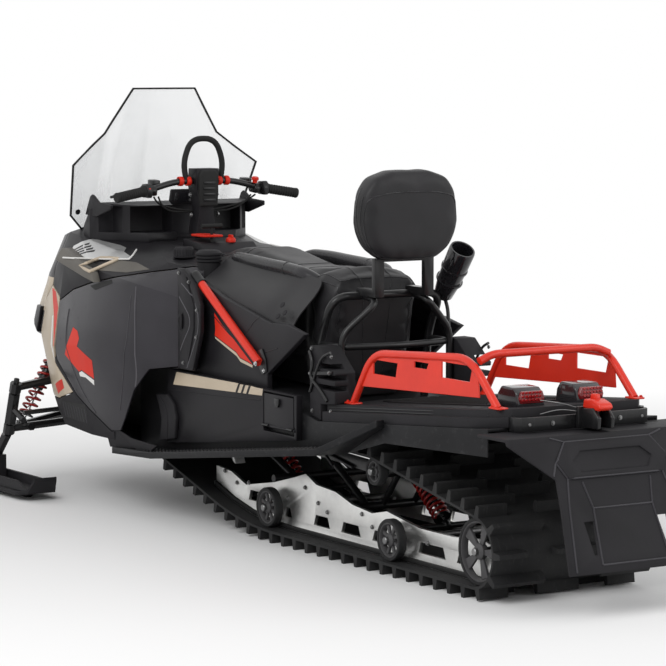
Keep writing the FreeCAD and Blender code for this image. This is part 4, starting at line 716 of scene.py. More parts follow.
# smooth bent tubes in place of the plain ones: node, finish, then radius, bend and lines
tubeWork = {
    "passengerTubes": ("passenger_frame", "frameBlack", (
        (13.0, 60, [across((985, 204, 440), (963, 204, 670), (886, 204, 812))]),
        (11.0, 50, [[(963, 204, 657), (836, 204, 657), (800, 0, 657), (836, -204, 657), (963, -204, 657)]]),
        (11.0, 40, beside((886, 93, 812), (796, 93, 799), (836, 204, 695), (836, 204, 426))))),
    "hoopTube": ("rack_hoop", "paintRed", ((12.0, 40, [across((36, 232, 687.2), (36, 186, 706))]),)),
    "bumperTube": ("front_bumper", "frameBlack", ((13.0, 40,
        [across((2850.5, 127, 420), (2930, 165, 420))]),)),
    "skidTubesFront": ("skid_arms", "frameBlack", (
        (13.0, 30, [across((x, -y, z)) for x, y, z in ((1262, 199.6, 190), (1640, 299.6, 338),
            (820, 199.6, 150), (1120, 299.6, 330), (722, 118, 268))]),
        (13.0, 30, beside((1262, 118, 190), (1640, 118, 338)) + beside((820, 118, 150), (1120, 118, 330))),
        (10.4, 30, beside((820, 59, 150), (722, 59, 268))))),
}
for name, (node, finish, work) in tubeWork.items():
    pieces = [bent(line, radius, bend, 4) for radius, bend, lines in work for line in lines]
    finished(name, pieces, finish, nodeBody[node], node)

# limiter straps and the torsion struts beside the rails
struts = [bent([(938, 226, 330), (732, 226, 294)], 6.0), bent([(930, 232, 345), (842, 232, 288)], 5.0)]
finished("skidStruts", struts, "frameBlack", both=True)
strap = plate([(1530, 205), (1548, 212), (1600, 300), (1583, 307)], "xz", 150, 190, 1.5)
finished("limiterStraps", [strap], "silverTrim", both=True)

# slides under the rails: flat, then up the approach curve
slideLooks = {"foot": 40.0, "curveStart": 1120.0, "curveRadius": 1500.0,
    "places": (2, 300, 700, 1120, 1245, 1370, 1495, 1618)}


def approachHeight(x):
    radius = slideLooks["curveRadius"]
    ahead = max(0.0, x - slideLooks["curveStart"])
    return slideLooks["foot"] + radius - math.sqrt(radius ** 2 - ahead ** 2)


low = [(x, approachHeight(x) + 1) for x in slideLooks["places"]]
high = [(x, z + 14) for x, z in low[::-1]]
finished("slideShoes", [plate(low + high, "xz", 190, 222, 1.0)], "slideDarkAndOpeningShade", both=True)
railBolts = ((84, 148), (150, 120), (330, 112), (640, 118), (700, 150), (905, 128), (960, 150), (1040, 190),
    (1150, 140), (1330, 130), (1400, 160), (1480, 150), (1560, 180))
bolts("railBolts", [(x, 212.2, z, (0, 1, 0), 1.5) for x, z in railBolts])


# body trim: beads, stripes and films on the panels
def bead(name, source, angle, radius, finish):
    # a rubber bead along a piece's sharp edges
    piece = linked(name, source.data.copy())
    only(piece)
    bpy.ops.object.mode_set(mode="EDIT")
    bpy.ops.mesh.select_mode(type="EDGE")
    bpy.ops.mesh.select_all(action="DESELECT")
    bpy.ops.mesh.edges_select_sharp(sharpness=math.radians(angle))
    bpy.ops.mesh.select_all(action="INVERT")
    bpy.ops.mesh.delete(type="EDGE")
    bpy.ops.mesh.select_all(action="SELECT")
    bpy.ops.mesh.delete(type="ONLY_FACE")
    bpy.ops.object.mode_set(mode="OBJECT")
    bpy.ops.object.convert(target="CURVE")
    piece = bpy.context.object
    piece.data.bevel_depth = radius / 1000
    piece.data.bevel_resolution = 2
    bpy.ops.object.convert(target="MESH")
    return settle(bpy.context.object, finish, smooth=60.0)


screen = copyNode("windshield", "screen", 4.0)
bead("screenBead", screen, 50.0, 3.2, "gripRubber")
settle(screen, "screenClear")
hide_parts("windshield")
screenBolts = ((2433, 118, 1010), (2426, 236, 1004), (2407, 330, 1012))
bolts("screenBolts", [(*place, (1, 0.2, 0.35), 2.0) for place in screenBolts], "plasticBlack")


def ridge(name, points, node, side, radius, finish):
    # a fine rolled crease: a line of x and z laid on a panel from the side, sunk by nearly half its radius
    laid = []
    target = bpy.data.objects[node + ".dressed"]
    bpy.context.view_layer.update()
    for corner in softCorners([spot(x, 0, z) for x, z in points], 0.08, 8):
        hit, place, normal, _ = target.ray_cast(Vector((corner.x, side, corner.z)), Vector((0, -side, 0)))
        if hit:
            laid.append(place - normal * radius * 0.45 / 1000)
    if len(laid) > 1:
        finished(name, [roundBar(laid, radius, 2)], finish, smooth=60.0)


creaseLines = {
    "sideCrease": ("side_panels", "panelGrey", 4.0, [(1846, 838), (1842, 700), (1839, 586), (1880, 470),
        (1930, 360)]),
    "sideFacet": ("side_panels", "panelGrey", 3.0, [(2290, 800), (2330, 600), (2240, 430), (2110, 330)]),
    "kneeCrease": ("side_fairings", "plasticBlack", 2.5, [(1253, 677), (1200, 722), (1130, 745)]),
    "kneeLower": ("side_fairings", "plasticBlack", 2.5, [(1490, 720), (1330, 640), (1180, 610),
        (1060, 640)]),
    "coverLine": ("tunnel_panels", "plasticBlack", 2.5, [(1740, 446), (1500, 452), (1130, 470)]),
    # these three lines are painted highlights: rolled edges in a lighter tone than the panels under them
    "sideEdge": ("side_panels", "panelPaintedSheen", 3.4, [(1816, 790), (1808, 700), (1797, 610), (1788, 530),
        (1802, 440), (1880, 356)]),
    "ventInner": ("vent_panels", "panelPaintedSheen", 2.6, [(1640, 778), (1616, 756), (1538, 691), (1604, 615),
        (1640, 560)]),
    "ventOuter": ("vent_panels", "panelPaintedSheen", 2.6, [(1612, 812), (1544, 778), (1496, 722), (1500, 660),
        (1526, 614), (1577, 532)]),
}
for name, (node, finish, radius, points) in creaseLines.items():
    for side, tag in sides:
        ridge(name + tag, points, node, side, radius, finish)

films = {
    "coverStripe": ("tunnel_panels", 0.40, "panelTan", [(1712, 463), (1118, 485), (1112, 510),
        (1688, 508)]),
    "bladeStripe": ("nose_blades", 0.45, "tapeRed", [(2522, 736), (2480, 734), (2408, 672), (2400, 580),
        (2398, 530), (2412, 540), (2452, 640)]),
    "bladeStripeEdge": ("nose_blades", 0.45, "stripeWhite",
        [(2464, 645), (2448, 600), (2422, 520), (2428, 480), (2440, 520), (2474, 640)]),
    "bladeBlock": ("nose_blades", 0.45, "tapeRed", [(2476, 394), (2372, 424), (2366, 392), (2446, 362)]),
    "flashRed": ("side_panels", 0.45, "tapeRed", [(2260, 618), (2220, 608), (2199, 584), (2209, 555),
        (2102, 515), (2099, 451), (2188, 474), (2213, 466), (2318, 517), (2299, 546)]),
    "flashWhite": ("side_panels", 0.45, "stripeWhite", [(2212, 462), (2188, 470), (2100, 446), (2102, 428),
        (2160, 450), (2206, 450)]),
    "kneeFlash": ("side_fairings", 0.31, "tapeRed", [(1469, 724), (1418, 688), (1340, 646), (1217, 574),
        (1299, 590), (1324, 606), (1466, 648), (1462, 668)]),
    "kneeFlashEdge": ("side_fairings", 0.31, "panelTan", [(1466, 645), (1462, 638), (1320, 592),
        (1296, 576), (1219, 564), (1217, 572), (1299, 587), (1324, 603)]),
}
for name, (node, level, finish, corners) in films.items():
    for side, tag in sides:
        decal(name + tag, corners, side * level * 1000, node, finish)
for i in range(3):
    x = 1292 - i * 34
    corners = [(x, 474), (x - 13, 474), (x - 34, 508), (x - 21, 508)]
    for side, tag in sides:
        decal("coverBar%d%s" % (i, tag), corners, 330.0 * side, "tunnel_panels", "plasticBlack", lift=0.9,
            cuts=2)
print("films laid")

# louvres of the belly pan: a dark film painted as the shade in the opening, under upright ribs whose
# lighter tone is a painted highlight
louvre = [(2412, 344), (2190, 350), (2178, 318), (2206, 286), (2384, 282)]
for side, tag in sides:
    decal("louvrePaintedShade" + tag, louvre, 450.0 * side, "belly_pan", "slideDarkAndOpeningShade")
    for i in range(9):
        x = 2396 - i * 25
        rib = [(x, 342 - i), (x - 5, 314), (x - 8, 287)]
        ridge("bellyRib%d%s" % (i, tag), rib, "belly_pan", side, 4.2, "flapPaintedSheen")

# scoops: a tan frame over a dark mouth, a grey tail behind it, a slot under it, a silver facet above; the
# mouth, the slot and the facet's slits are dark films, painted shade in the openings
frameLine = [(2192, 432, 838), (2154, 426, 849), (2183, 383, 856), (2167, 363, 865), (2120, 352, 867),
    (2070, 345, 867), (2082, 364, 856), (2099, 384, 845), (2108, 408, 834), (2106, 438, 824),
    (2149, 437, 831)]
lipLine = [(2348, 420, 857), (2272, 424, 860), (2236, 410, 861), (2180, 373, 861), (2138, 361, 862),
    (2093, 351, 864), (2048, 341, 867), (2016, 332, 868), (2027, 311, 881), (2080, 269, 895)]
mouth = [(2192, 424), (2166, 378), (2080, 360), (2108, 424)]
tail = [(2104, 404), (1940, 380), (1850, 340), (1964, 330), (2070, 344), (2110, 360)]
slot = [(2152, 770), (2000, 802), (1988, 790), (2112, 758)]
facet = [(2402, 862), (2408, 892), (2330, 920), (2198, 904), (2018, 872), (2022, 864), (2200, 858)]
for side, tag in sides:
    lines = [[(x, y * side, z) for x, y, z in line] for line in (frameLine, lipLine)]
    finished("scoopFrame" + tag, [bent(lines[0], 6.0, 4.0, closed=True)], "panelTan")
    finished("hoodLip" + tag, [bent(lines[1], 3.2, 3.0)], "stripeWhite")
    decal("scoopMouthShade" + tag, [(x, y * side) for x, y in mouth], 960.0, "scoops", "slideDarkAndOpeningShade", "xy",
        lift=1.5)
    decal("scoopTail" + tag, [(x, y * side) for x, y in tail], 960.0, "hood", "scoopGrey", "xy", lift=1.0)
    decal("scoopSlotShade" + tag, slot, 460.0 * side, "side_panels", "slideDarkAndOpeningShade", lift=0.8)
    decal("hoodFacet" + tag, facet, 460.0 * side, "hood", "silverTrim", lift=0.8, cuts=5)
    for i in range(4):
        x = 2400 - i * 22
        slit = [(x, 876 - i * 3), (x - 7, 874 - i * 3), (x - 92, 902 - i * 7), (x - 86, 908 - i * 7)]
        decal("facetSlitShade%d%s" % (i, tag), slit, 460.0 * side, "hood", "slideDarkAndOpeningShade", lift=1.2, cuts=3)

# vent panel latch and screws
latches = []
latchPlace = Matrix.Translation(spot(1612, 0, 686))
for side, _ in sides:
    latch = turned([(0, 0), (15, 0), (17, 2), (15, 5), (9, 6), (8, 4), (0, 4)], (1612, 350 * side, 686),
        (0, side, 0), 32)
    latch.data.transform(latchPlace @ Matrix.Diagonal((0.7, 1.0, 1.7, 1.0)) @ latchPlace.inverted())
    latches.append(latch)
finished("ventLatches", latches, "plasticTextured")
ventBolts = ((1628, 846), (1560, 820), (1506, 730), (1510, 640), (1600, 548))
bolts("ventBolts", [(x, 348.2, z, (0, 1, 0), 1.3) for x, z in ventBolts])

# toe well: a curved kick panel with a seam, and the guard that carries the board's edge up to the belly pan
kickLine = [(1813, 422), (1731, 429), (1691, 402), (1671, 352), (1681, 283), (1787, 264), (1773, 341),
    (1793, 391)]
kickRib = bent([(1784, 341, 420), (1742, 341, 392), (1724, 341, 345), (1732, 341, 276)], 3.0, 30.0, 2)
finished("kickPanels", [plate(kickLine, "xz", 325, 341, 5.0, 3), kickRib], "plasticTextured", both=True)
guardLine = [(2078, 304), (2030, 220), (1860, 235), (1748, 232), (1690, 262), (1873, 268), (1992, 292),
    (1926, 352), (1944, 364)]
finished("toeGuards", [plate(guardLine, "xz", 397, 404, 2.0)], "plasticTextured", both=True)

# red tubes down to the boards, with a black boot on top, a foot and a bolt
tubeTop, tubeEnd = (1566, 317.3, 838), (1152, 317.3, 587)
finished("subTubes", [bent([tubeTop, tubeEnd], 14.0)], "paintRed", node="subframe_tubes", both=True)
boot = turned([(14.5, -46), (17.5, -44), (17.5, -6), (19, 0), (17.5, 6), (16, 12), (0, 14), (0, -2),
    (14.5, -4)], tubeTop, spot(*tubeTop) - spot(*tubeEnd), 28)
foot = plate([(1180, 622), (1150, 632), (1128, 600), (1120, 560), (1150, 548), (1176, 575)], "xz", 304, 309,
    2.0)
finished("tubeBoots", [boot, foot], "frameBlack", both=True)
bolts("tubeBolts", [(1148, 331.5, 585, (0, 1, 0), 1.6), (1136, 309, 562, (0, 1, 0), 1.3)], "chrome")
print("body trimmed")

# soft parts: each cushion is blown up from a slightly smaller copy of its solid, lengths in millimetres
cushionLooks = {
    "seatCushion": {"node": "seat", "shrink": 5.0, "edge": 16.0, "voxel": 7.5, "cap": 9.0, "hold": 90.0,
        "fill": 0.85},
    "rearCushion": {"node": "passenger_seat", "shrink": 6.0, "edge": 16.0, "voxel": 6.0, "cap": 10.0,
        "hold": 60.0, "fill": 0.85},
    "backCushion": {"node": "backrest_pad", "shrink": 4.0, "edge": 30.0, "voxel": 6.0, "cap": 6.0,
        "hold": 0.0, "fill": 0.8, "calm": 24, "round": {"foot": 0.30, "top": 0.20, "belly": 0.014,
        "crown": 0.006}},
}


def rounder(piece, node, share):
    # a head-shaped outline: narrower towards its foot and its top, with a low belly
    editAll(piece)
    bpy.ops.mesh.quads_convert_to_tris()
    bpy.ops.mesh.subdivide(number_cuts=3)
    nothing()
    low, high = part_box(node)
    half = (high[1] - low[1]) / 2
    for vertex in piece.data.vertices:
        height = (vertex.co.z - low[2]) / (high[2] - low[2])
        down = max(0.0, (0.42 - height) / 0.42)
        up = max(0.0, (height - 0.62) / 0.38)
        inward = 1.0 - (vertex.co.y / half) ** 2
        vertex.co.y *= 1.0 - share["foot"] * down ** 2.4 - share["top"] * up ** 2.2
        vertex.co.z += (share["crown"] * up - share["belly"] * down) * inward


def swell(piece, look):
    # air pressure fills the cover, its foot is held, and no point moves further than the cap
    start = [vertex.co.copy() for vertex in piece.data.vertices]
    foot = min(place.z for place in start) + look["hold"] / 1000
    only(piece)
    cloth = piece.modifiers.new("cover", "CLOTH")
    if look["hold"]:
        held = piece.vertex_groups.new(name="held")
        held.add([i for i, place in enumerate(start) if place.z < foot], 1.0, "REPLACE")
        cloth.settings.vertex_group_mass = "held"
    cloth.settings.use_pressure = True
    cloth.settings.uniform_pressure_force = 4.0
    cloth.settings.effector_weights.gravity = 0.0
    cloth.settings.quality = 4
    cloth.point_cache.frame_start = 1
    cloth.point_cache.frame_end = 20
    for step in range(1, 21):
        bpy.context.scene.frame_set(step)
    bpy.ops.object.modifier_apply(modifier=cloth.name)
    bpy.context.scene.frame_set(1)
    limit = look["cap"] / 1000
    for vertex, place in zip(piece.data.vertices, start):
        moved = vertex.co - place
        if moved.length > limit:
            vertex.co = place + moved.normalized() * limit


def cushion(name, look):
    piece = copyNode(look["node"], name, 0)
    editAll(piece)
    bpy.ops.transform.shrink_fatten(value=-look["shrink"] / 1000)
    nothing()
    roundEdges(piece, look["edge"] / 1000, 3, 25.0)
    if "round" in look:
        rounder(piece, look["node"], look["round"])
    piece.data.remesh_voxel_size = look["voxel"] / 1000
    only(piece)
    bpy.ops.object.voxel_remesh()
    applied(piece, "SMOOTH", factor=0.5, iterations=6)
    swell(piece, look)
    applied(piece, "SMOOTH", factor=0.5, iterations=look.get("calm", 3))
    applied(piece, "SUBSURF", levels=1, render_levels=1)
    settle(piece, "seatVinyl", nodeBody[look["node"]], smooth=70.0)
    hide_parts(look["node"])
    return piece


cushions = {name: cushion(name, look) for name, look in cushionLooks.items()}
print("cushions filled")


def seam(name, pad, points, radius=1.8, closed=False):
    # a sewn line: points in millimetres, laid on the pad's nearest surface in steps of 12 mm
    line = softCorners([spot(*point) for point in points], 0.05, 6)
    if closed:
        line.append(line[0])
    fine = [line[0]]
    for place, after in zip(line, line[1:]):
        count = max(1, int((after - place).length / 0.012))
        fine += [place.lerp(after, (i + 1) / count) for i in range(count)]
    laid = []
    for place in fine:
        hit, near, normal, _ = pad.closest_point_on_mesh(place)
        if hit:
            laid.append(near + normal * 0.0002)
    finished(name, [roundBar(laid, radius, 1)], "seatGloss", smooth=60.0)


def padOutline(x):
    # the backrest's outline, 2 mm inside its edge
    half = [(0, 869), (145.6, 869), (170.6, 897), (182.6, 982), (176.6, 1073), (156.6, 1124), (90.6, 1142),
        (0, 1142)]
    return [(x, y, z) for y, z in half] + [(x, -y, z) for y, z in half[::-1] if y]


pad, rear, front = cushions["backCushion"], cushions["rearCushion"], cushions["seatCushion"]
padRear, padFront = [measured(corner)[0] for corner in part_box("backrest_pad")]
for i, (depth, radius) in enumerate(((0.16, 2.2), (0.34, 1.5), (0.56, 1.5), (0.84, 2.2))):
    seam("padPiping%d" % i, pad, padOutline(padRear + (padFront - padRear) * depth), radius, closed=True)
topLine = [(1100, 150, 872), (1000, 158, 905), (915, 150, 900), (890, 0, 905)]
seam("rearSeamTop", rear, topLine + [(x, -y, z) for x, y, z in topLine[2::-1]])
seamLines = {
    "padSeam": (pad, 1.5, [(padFront + 10, 96, 880), (padFront + 14, 104, 1000), (padFront + 8, 84, 1135)]),
    "rearSeam": (rear, 1.6, [(1100, 62, 930), (1000, 66, 940), (880, 60, 900), (900, 46, 700),
        (925, 36, 540)]),
    "rearSide": (rear, 1.6, [(1095, 175, 860), (980, 180, 862), (900, 172, 850), (905, 160, 700),
        (925, 150, 560)]),
    "seatSeam": (front, 1.8, [(1845, 95, 900), (1700, 112, 920), (1500, 120, 925), (1300, 122, 900),
        (1118, 118, 880)]),
    "seatSide": (front, 1.6, [(1830, 172, 790), (1600, 180, 800), (1350, 180, 780), (1118, 180, 775)]),
}
for name, (cover, radius, points) in seamLines.items():
    for side, word in sideWords:
        seam(name + word, cover, [(x, y * side, z) for x, y, z in points], radius)
for i, x in enumerate((1235, 1330, 1610)):
    seam("seatCross%d" % i, front, [(x, 118, 930), (x - 12, 0, 940), (x, -118, 930)], 1.5)

# bolsters along both top edges of the seat, and the apron between the seat and the side panels
bolster = bent([(1640, 120, 862), (1590, 150, 890), (1480, 158, 894), (1300, 160, 876), (1130, 156, 866),
    (1085, 130, 842)], 22.0, 60.0, 6)
for vertex in bolster.data.vertices:
    share = (vertex.co.x + rearAxle - 1.130) / 0.46
    vertex.co.z += 0.004 * math.sin(share * math.pi * 2)
bolsters = finished("seatBolsters", [bolster], "seatGloss", smooth=60.0, both=True)
for side, word in sideWords:
    seam("bolsterRing" + word, bolsters, [(1238, y * side, z) for y,
        z in ((130, 882), (160, 905), (190, 870), (170, 840))], 1.6)

# the apron's columns: place along the sled, top and foot
apronLine = [(1622, 896, 770), (1500, 893, 752), (1414, 886, 738), (1300, 878, 730), (1193, 872, 722),
    (1150, 868, 706), (1114, 865, 690), (1060, 862, 680), (1004, 856, 672)]
apronLooks = {"rows": 7, "top": 164, "foot": 284, "wall": 0.004}


def makeApron():
    nothing()
    bpy.ops.mesh.primitive_grid_add(x_subdivisions=len(apronLine) - 1,
        y_subdivisions=apronLooks["rows"] - 1, size=1)
    piece = bpy.context.object
    columns = sorted({round(vertex.co.x, 4) for vertex in piece.data.vertices})
    levels = sorted({round(vertex.co.y, 4) for vertex in piece.data.vertices})
    for vertex in piece.data.vertices:
        x, top, low = apronLine[columns.index(round(vertex.co.x, 4))]
        share = levels.index(round(vertex.co.y, 4)) / (len(levels) - 1)
        reach = math.sin(min(1.0, share * 1.15) * math.pi / 2) ** 1.3
        out = apronLooks["top"] + (apronLooks["foot"] - apronLooks["top"]) * reach
        vertex.co = spot(x, out, top + (low - top) * share ** 0.85)
    outward(piece)
    faceTo(piece, (0, 1, 0))
    applied(piece, "SUBSURF", levels=2, render_levels=2)
    return applied(piece, "SOLIDIFY", thickness=apronLooks["wall"], offset=-1.0)


finished("seatAprons", [makeApron()], "seatVinyl", smooth=50.0, both=True)
buttons = [turned([(0, 0), (9, 0), (11, 2), (9, 4), (0, 4)], place, (0, 0.8, 0.6),
    20) for place in ((1078, 272, 775), (1052, 279, 752), (1088, 283, 738))]
finished("apronButtons", buttons, "plasticTextured", both=True)
finished("trimBars", [bent([(1137, 296, 662), (1060, 298, 690), (970, 298, 700)], 3.5)], "silverTrim",
    both=True)
print("seats dressed")

# controls: bar, grips, switch pods, levers, clamps and the grab loop
controls = {"barRadius": 11.0, "gripLength": 116.0, "ribs": 11, "ribStep": 9.4}
barHalf = [(2050, 358, 1078), (2070, 235, 1098), (2085, 110, 1128)]
finished("barTube", [bent(across(*barHalf), controls["barRadius"], 45.0, 5)], "frameBlack", "steering",
    "handlebar")
profile = [(0, -6), (15, -6), (18, -2), (18, 3)]
for i in range(controls["ribs"]):
    start = 6 + i * controls["ribStep"]
    profile += [(15.6, start), (17.4, start + 1.5), (17.4, start + 6), (15.6, start + 7.5)]
end = controls["gripLength"]
profile += [(19, end - 6), (21, end - 3), (21, end), (11.4, end), (0, end)]
grip = turned(profile, barHalf[0], spot(*barHalf[1]) - spot(*barHalf[0]), 24)
finished("gripRubbers", [grip], "gripRubber", "steering", "grips", both=True)
levers = [bent([(2104, 222, 1096), (2136, 262, 1096), (2120, 330, 1082), (2108, 352, 1078)], 5.0, 26.0, 3),
    plate([(2062, 1080), (2106, 1084), (2114, 1098), (2104, 1112), (2066, 1116), (2056, 1098)], "xz", 196,
    222, 4.0), plate([(2088, 1104), (2128, 1106), (2128, 1136), (2088, 1134)], "xz", 168, 200, 5.0),
    plate([(2046, 1074), (2092, 1076), (2098, 1098), (2090, 1122), (2052, 1124), (2042, 1100)], "xz", 222,
    244, 5.0)]
finished("leverBodies", levers, "frameBlack", "steering", "grips", both=True)
switches = [turned([(0, 0), (5, 0), (5, 4), (4, 6), (0, 6)], (x, 233, z), (-1, 0, 0.1), 16) for x,
    z in ((2050, 1104), (2052, 1086))]
finished("switchButtons", switches, "tapeRed", "steering")
stop = turned([(0, 0), (9, 0), (9, 8), (13, 10), (13, 18), (10, 21), (0, 21)], (2062, -196, 1118),
    (-0.2, 0, 1), 24)
finished("stopButton", [stop], "tapeRed", "steering")
clamps = [turned([(11.3, -8), (16, -8), (17, -6), (17, 6), (16, 8), (11.3, 8)], (2085, y, 1128), (0, 1, 0),
    28) for y in (62, 92, -62, -92)]
finished("barClamps", clamps, "tapeRed", "steering")
loop = bent(across((2085, 66, 1122), (2085, 80, 1190), (2085, 50, 1276)), 10.5, 62.0, 5)
finished("grabLoop", [loop], "gripRubber", "steering", "grab_loop")
bolts("controlBolts", [(2078, 52, 1010, (0, 1, 0), 1.6), (2082, 52, 1080, (0, 1, 0), 1.6)], body="steering")

# gauge in front of the bar, on the dash
rim = plate([(-72, 1042), (72, 1042), (82, 1056), (76, 1096), (-76, 1096), (-82, 1056)], "yz", 2176, 2192,
    4.0)
finished("gaugeRim", [rim], "plasticTextured")
face = plate([(-62, 1050), (62, 1050), (68, 1058), (62, 1088), (-62, 1088), (-68, 1058)], "yz", 2173.5,
    2180, 1.0)
finished("gaugeFace", [face], "bodyGloss")

# T handle, filler cap with a knurl and a ring, and the red plate beside it
handle = [bent([(1930, 14, 978), (1930, 94, 978)], 8.0, 10.0, 4),
    bent([(1930, 54, 978), (1930, 54, 924)], 5.0, 10.0, 3)]
finished("shiftHandle", handle, "gripRubber", node="shift_lever")
capLow, capHigh = [measured(corner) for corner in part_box("filler_cap")]
capX, capY, capZ = (capLow[0] + capHigh[0]) / 2, (capLow[1] + capHigh[1]) / 2, capLow[2]
knurl = {"count": 20, "radius": 34.0, "rib": 2.2}
ribs = [turned([(0, 0), (34, 0), (34, 24), (30, 33), (12, 34), (10, 31), (0, 31)], (capX, capY, capZ),
    (0, 0, 1), 40)]
for i in range(knurl["count"]):
    turn = 2 * math.pi * i / knurl["count"]
    x, y = capX + knurl["radius"] * math.cos(turn), capY + knurl["radius"] * math.sin(turn)
    ribs.append(bent([(x, y, capZ + 3), (x, y, capZ + 25)], knurl["rib"], 1.0, 1))
finished("fillerKnurl", ribs, "plasticTextured", node="filler_cap")
ring = turned([(30, -5), (37, -5), (38, -3), (38, 0), (36, 1), (30, 1)], (capX, capY, capZ + 2), (0, 0, 1),
    40)
finished("fillerRing", [ring], "plasticTextured")
redPlate = plate([(1905, 22), (1990, 18), (2030, 48), (2010, 92), (1920, 88)], "xy", 940, 948, 2.5)
finished("redPlate", [redPlate], "tapeRed")

# ribbed filler neck between the seat and the side panel, a red key on the console
neckLine = [(0, 0), (46, 0), (46, 14), (40, 18), (39, 88), (44, 92), (44, 98), (40, 100), (44, 103),
    (44, 109), (40, 111), (44, 114), (44, 120), (36, 128), (30, 130), (0, 130)]
finished("fillerNeck", [turned(neckLine, (1664, 214, 786), (0, 0, 1), 36)], "plasticTextured")
key = [turned([(0, -6), (17, -6), (18, 2), (15, 8), (10, 11), (0, 12)], (1926, -20, 926), (0, 0, 1), 28),
    plate([(1910, 935), (1942, 935), (1938, 946), (1914, 946)], "xz", -24, -16, 2.5)]
finished("consoleKeys", key, "tapeRed")
cables = [bent([(2072, y, 1076), (2092, y - 26, low), (2112, 110, low - 20), (2112, end, 1020)], 3.2, 34.0,
    3) for y, low, end in ((204, 1052, 24), (186, 1040, 34))]
finished("barCables", cables, "gripRubber", "steering", both=True)
riserPad = plate([(-34, 1040), (34, 1040), (38, 1090), (38, 1150), (28, 1166), (-28, 1166), (-38, 1150),
    (-38, 1090)], "yz", 2040, 2058, 6.0, 3)
finished("riserPad", [riserPad], "gripRubber", "steering")
ribs = [plate([(-24, z), (24, z), (24, z + 9), (-24, z + 9)], "yz", 2037, 2044,
    2.0) for z in (1058, 1078, 1098, 1118)]
finished("riserRibs", ribs, "frameBlack", "steering")
print("controls made")

# rear: rack rails, deck, lamps, hitch and flap
deck = {"front": 814.0, "low": 486.0, "rise": 78.0, "run": 934.0}


def bedLine(x):
    return deck["low"] + deck["rise"] * (deck["front"] - x) / deck["run"]


rackLine = [(703, 245, 491), (587, 245, 663), (62, 245, 695), (-76, 245, 563)]
rackPlate = plate([(655, 556), (592, 654), (62, 690), (22, 668), (14, 584)], "xz", 242.5, 247.5, 1.0, 1)
for corners in ([(582, 601), (456, 601), (445, 645), (582, 645)],
        [(356, 641), (288, 641), (277, 660), (356, 660)], [(209, 625), (62, 625), (48, 672), (209, 672)]):
    window = plate(corners, "xz", 230, 260)
    applied(rackPlate, "BOOLEAN", operation="DIFFERENCE", object=window, solver="EXACT")
    bpy.data.objects.remove(window)
rackParts = [bent(rackLine, 12.0, 70.0, 5), rackPlate]
rackBolts = []
for x in (700, -78):
    bed = bedLine(x)
    rackParts.append(plate([(x - 26, 226), (x + 26, 226), (x + 26, 262), (x - 26, 262)], "xy", bed + 0.4,
        bed + 6.5, 3.0))
    rackBolts += [(x + shift, 254, bed + 6.5, (0, 0, 1), 1.3) for shift in (-16, 16)]
rackRail = joined("rackRail", rackParts)
rackOther = twin(rackRail)
finished("rackRail", [rackRail], "paintRed", node="rack_left")
finished("rackRail.right", [rackOther], "paintRed", node="rack_right")
bolts("rackBolts", rackBolts, "tapeRed")

# deck: grooves along the extruded rails, rubber ribs between the racks
for side, tag in sides:
    for i, drop in enumerate((9, 18)):
        groove = [(x, bedLine(x) - drop) for x in (790, 300, -60)]
        ridge("deckGroove%d%s" % (i, tag), groove, "cargo_platform", side, 2.4, "frameBlack")
ribs = [bent([(690, y, bedLine(690) + 4), (130, y, bedLine(130) + 4)], 3.4, 1.0,
    1) for y in range(-140, 141, 35)]
finished("deckRibs", ribs, "gripRubber")

# tail lamps: flared black housings, dark red lenses and rows of bright cells
housing = plate([(64, 552), (58, 590), (40, 612), (-20, 610), (-38, 596), (-46, 570), (-46, 548)], "xz", 58,
    154, 6.0, 3)
lens = plate([(66, 566), (146, 566), (150, 580), (142, 602), (70, 602), (62, 580)], "yz", -52, -38, 3.0, 3)
cells = []
for row in range(3):
    for column in range(6):
        y, z = 76 + column * 12, 573 + row * 10.5
        cells.append(plate([(y, z), (y + 9, z), (y + 9, z + 7.5), (y, z + 7.5)], "yz", -54.5, -51, 1.0, 1))
finished("lampHousings", [housing], "bodyGloss", node="tail_lamps", both=True)
finished("lampLenses", [lens], "ledDark", node="tail_lamps", both=True)
finished("lampCells", cells, "lampRed", both=True)

# hitch: a black clamp whose jaws hold the pin, with a red latch on top
jaws = [plate([(-172, 504), (-262, 508), (-266, 540), (-236, 566), (-172, 560)], "xz", near, far,
    3.0) for near, far in ((18, 30), (-30, -18))]
jaws.append(plate([(-171, 504), (-184, 504), (-184, 566), (-171, 566)], "xz", -40, 40, 2.0))
jaws.append(turned([(0, -34), (12, -34), (14, -30), (8, -28), (8, 28), (14, 30), (12, 34), (0, 34)],
    (-220, 0, 536), (0, 0, 1), 28))
finished("hitchClamp", jaws, "frameBlack", node="hitch")
latch = [plate([(-180, 562), (-252, 558), (-266, 568), (-258, 580), (-226, 590), (-186, 588)], "xz", -24,
    24, 5.0, 3), plate([(-196, 586), (-226, 586), (-222, 604), (-200, 604)], "xz", -9, 9, 3.0)]
finished("hitchLatch", latch, "paintRed", node="hitch")
wires = [bent([(-176, 30, 560), (-150, 70, 574), (-96, 110, 580)], 1.6, 30.0, 1),
    bent([(-176, 36, 552), (-160, 90, 560), (-150, 150, 548)], 1.6, 30.0, 1)]
finished("latchWires", wires, "boltSteel")
bolts("strapBolts", [(-166, 200, 523, (-1, 0, 0), 1.4), (-170.4, 120, 523, (-1, 0, 0), 1.4)])

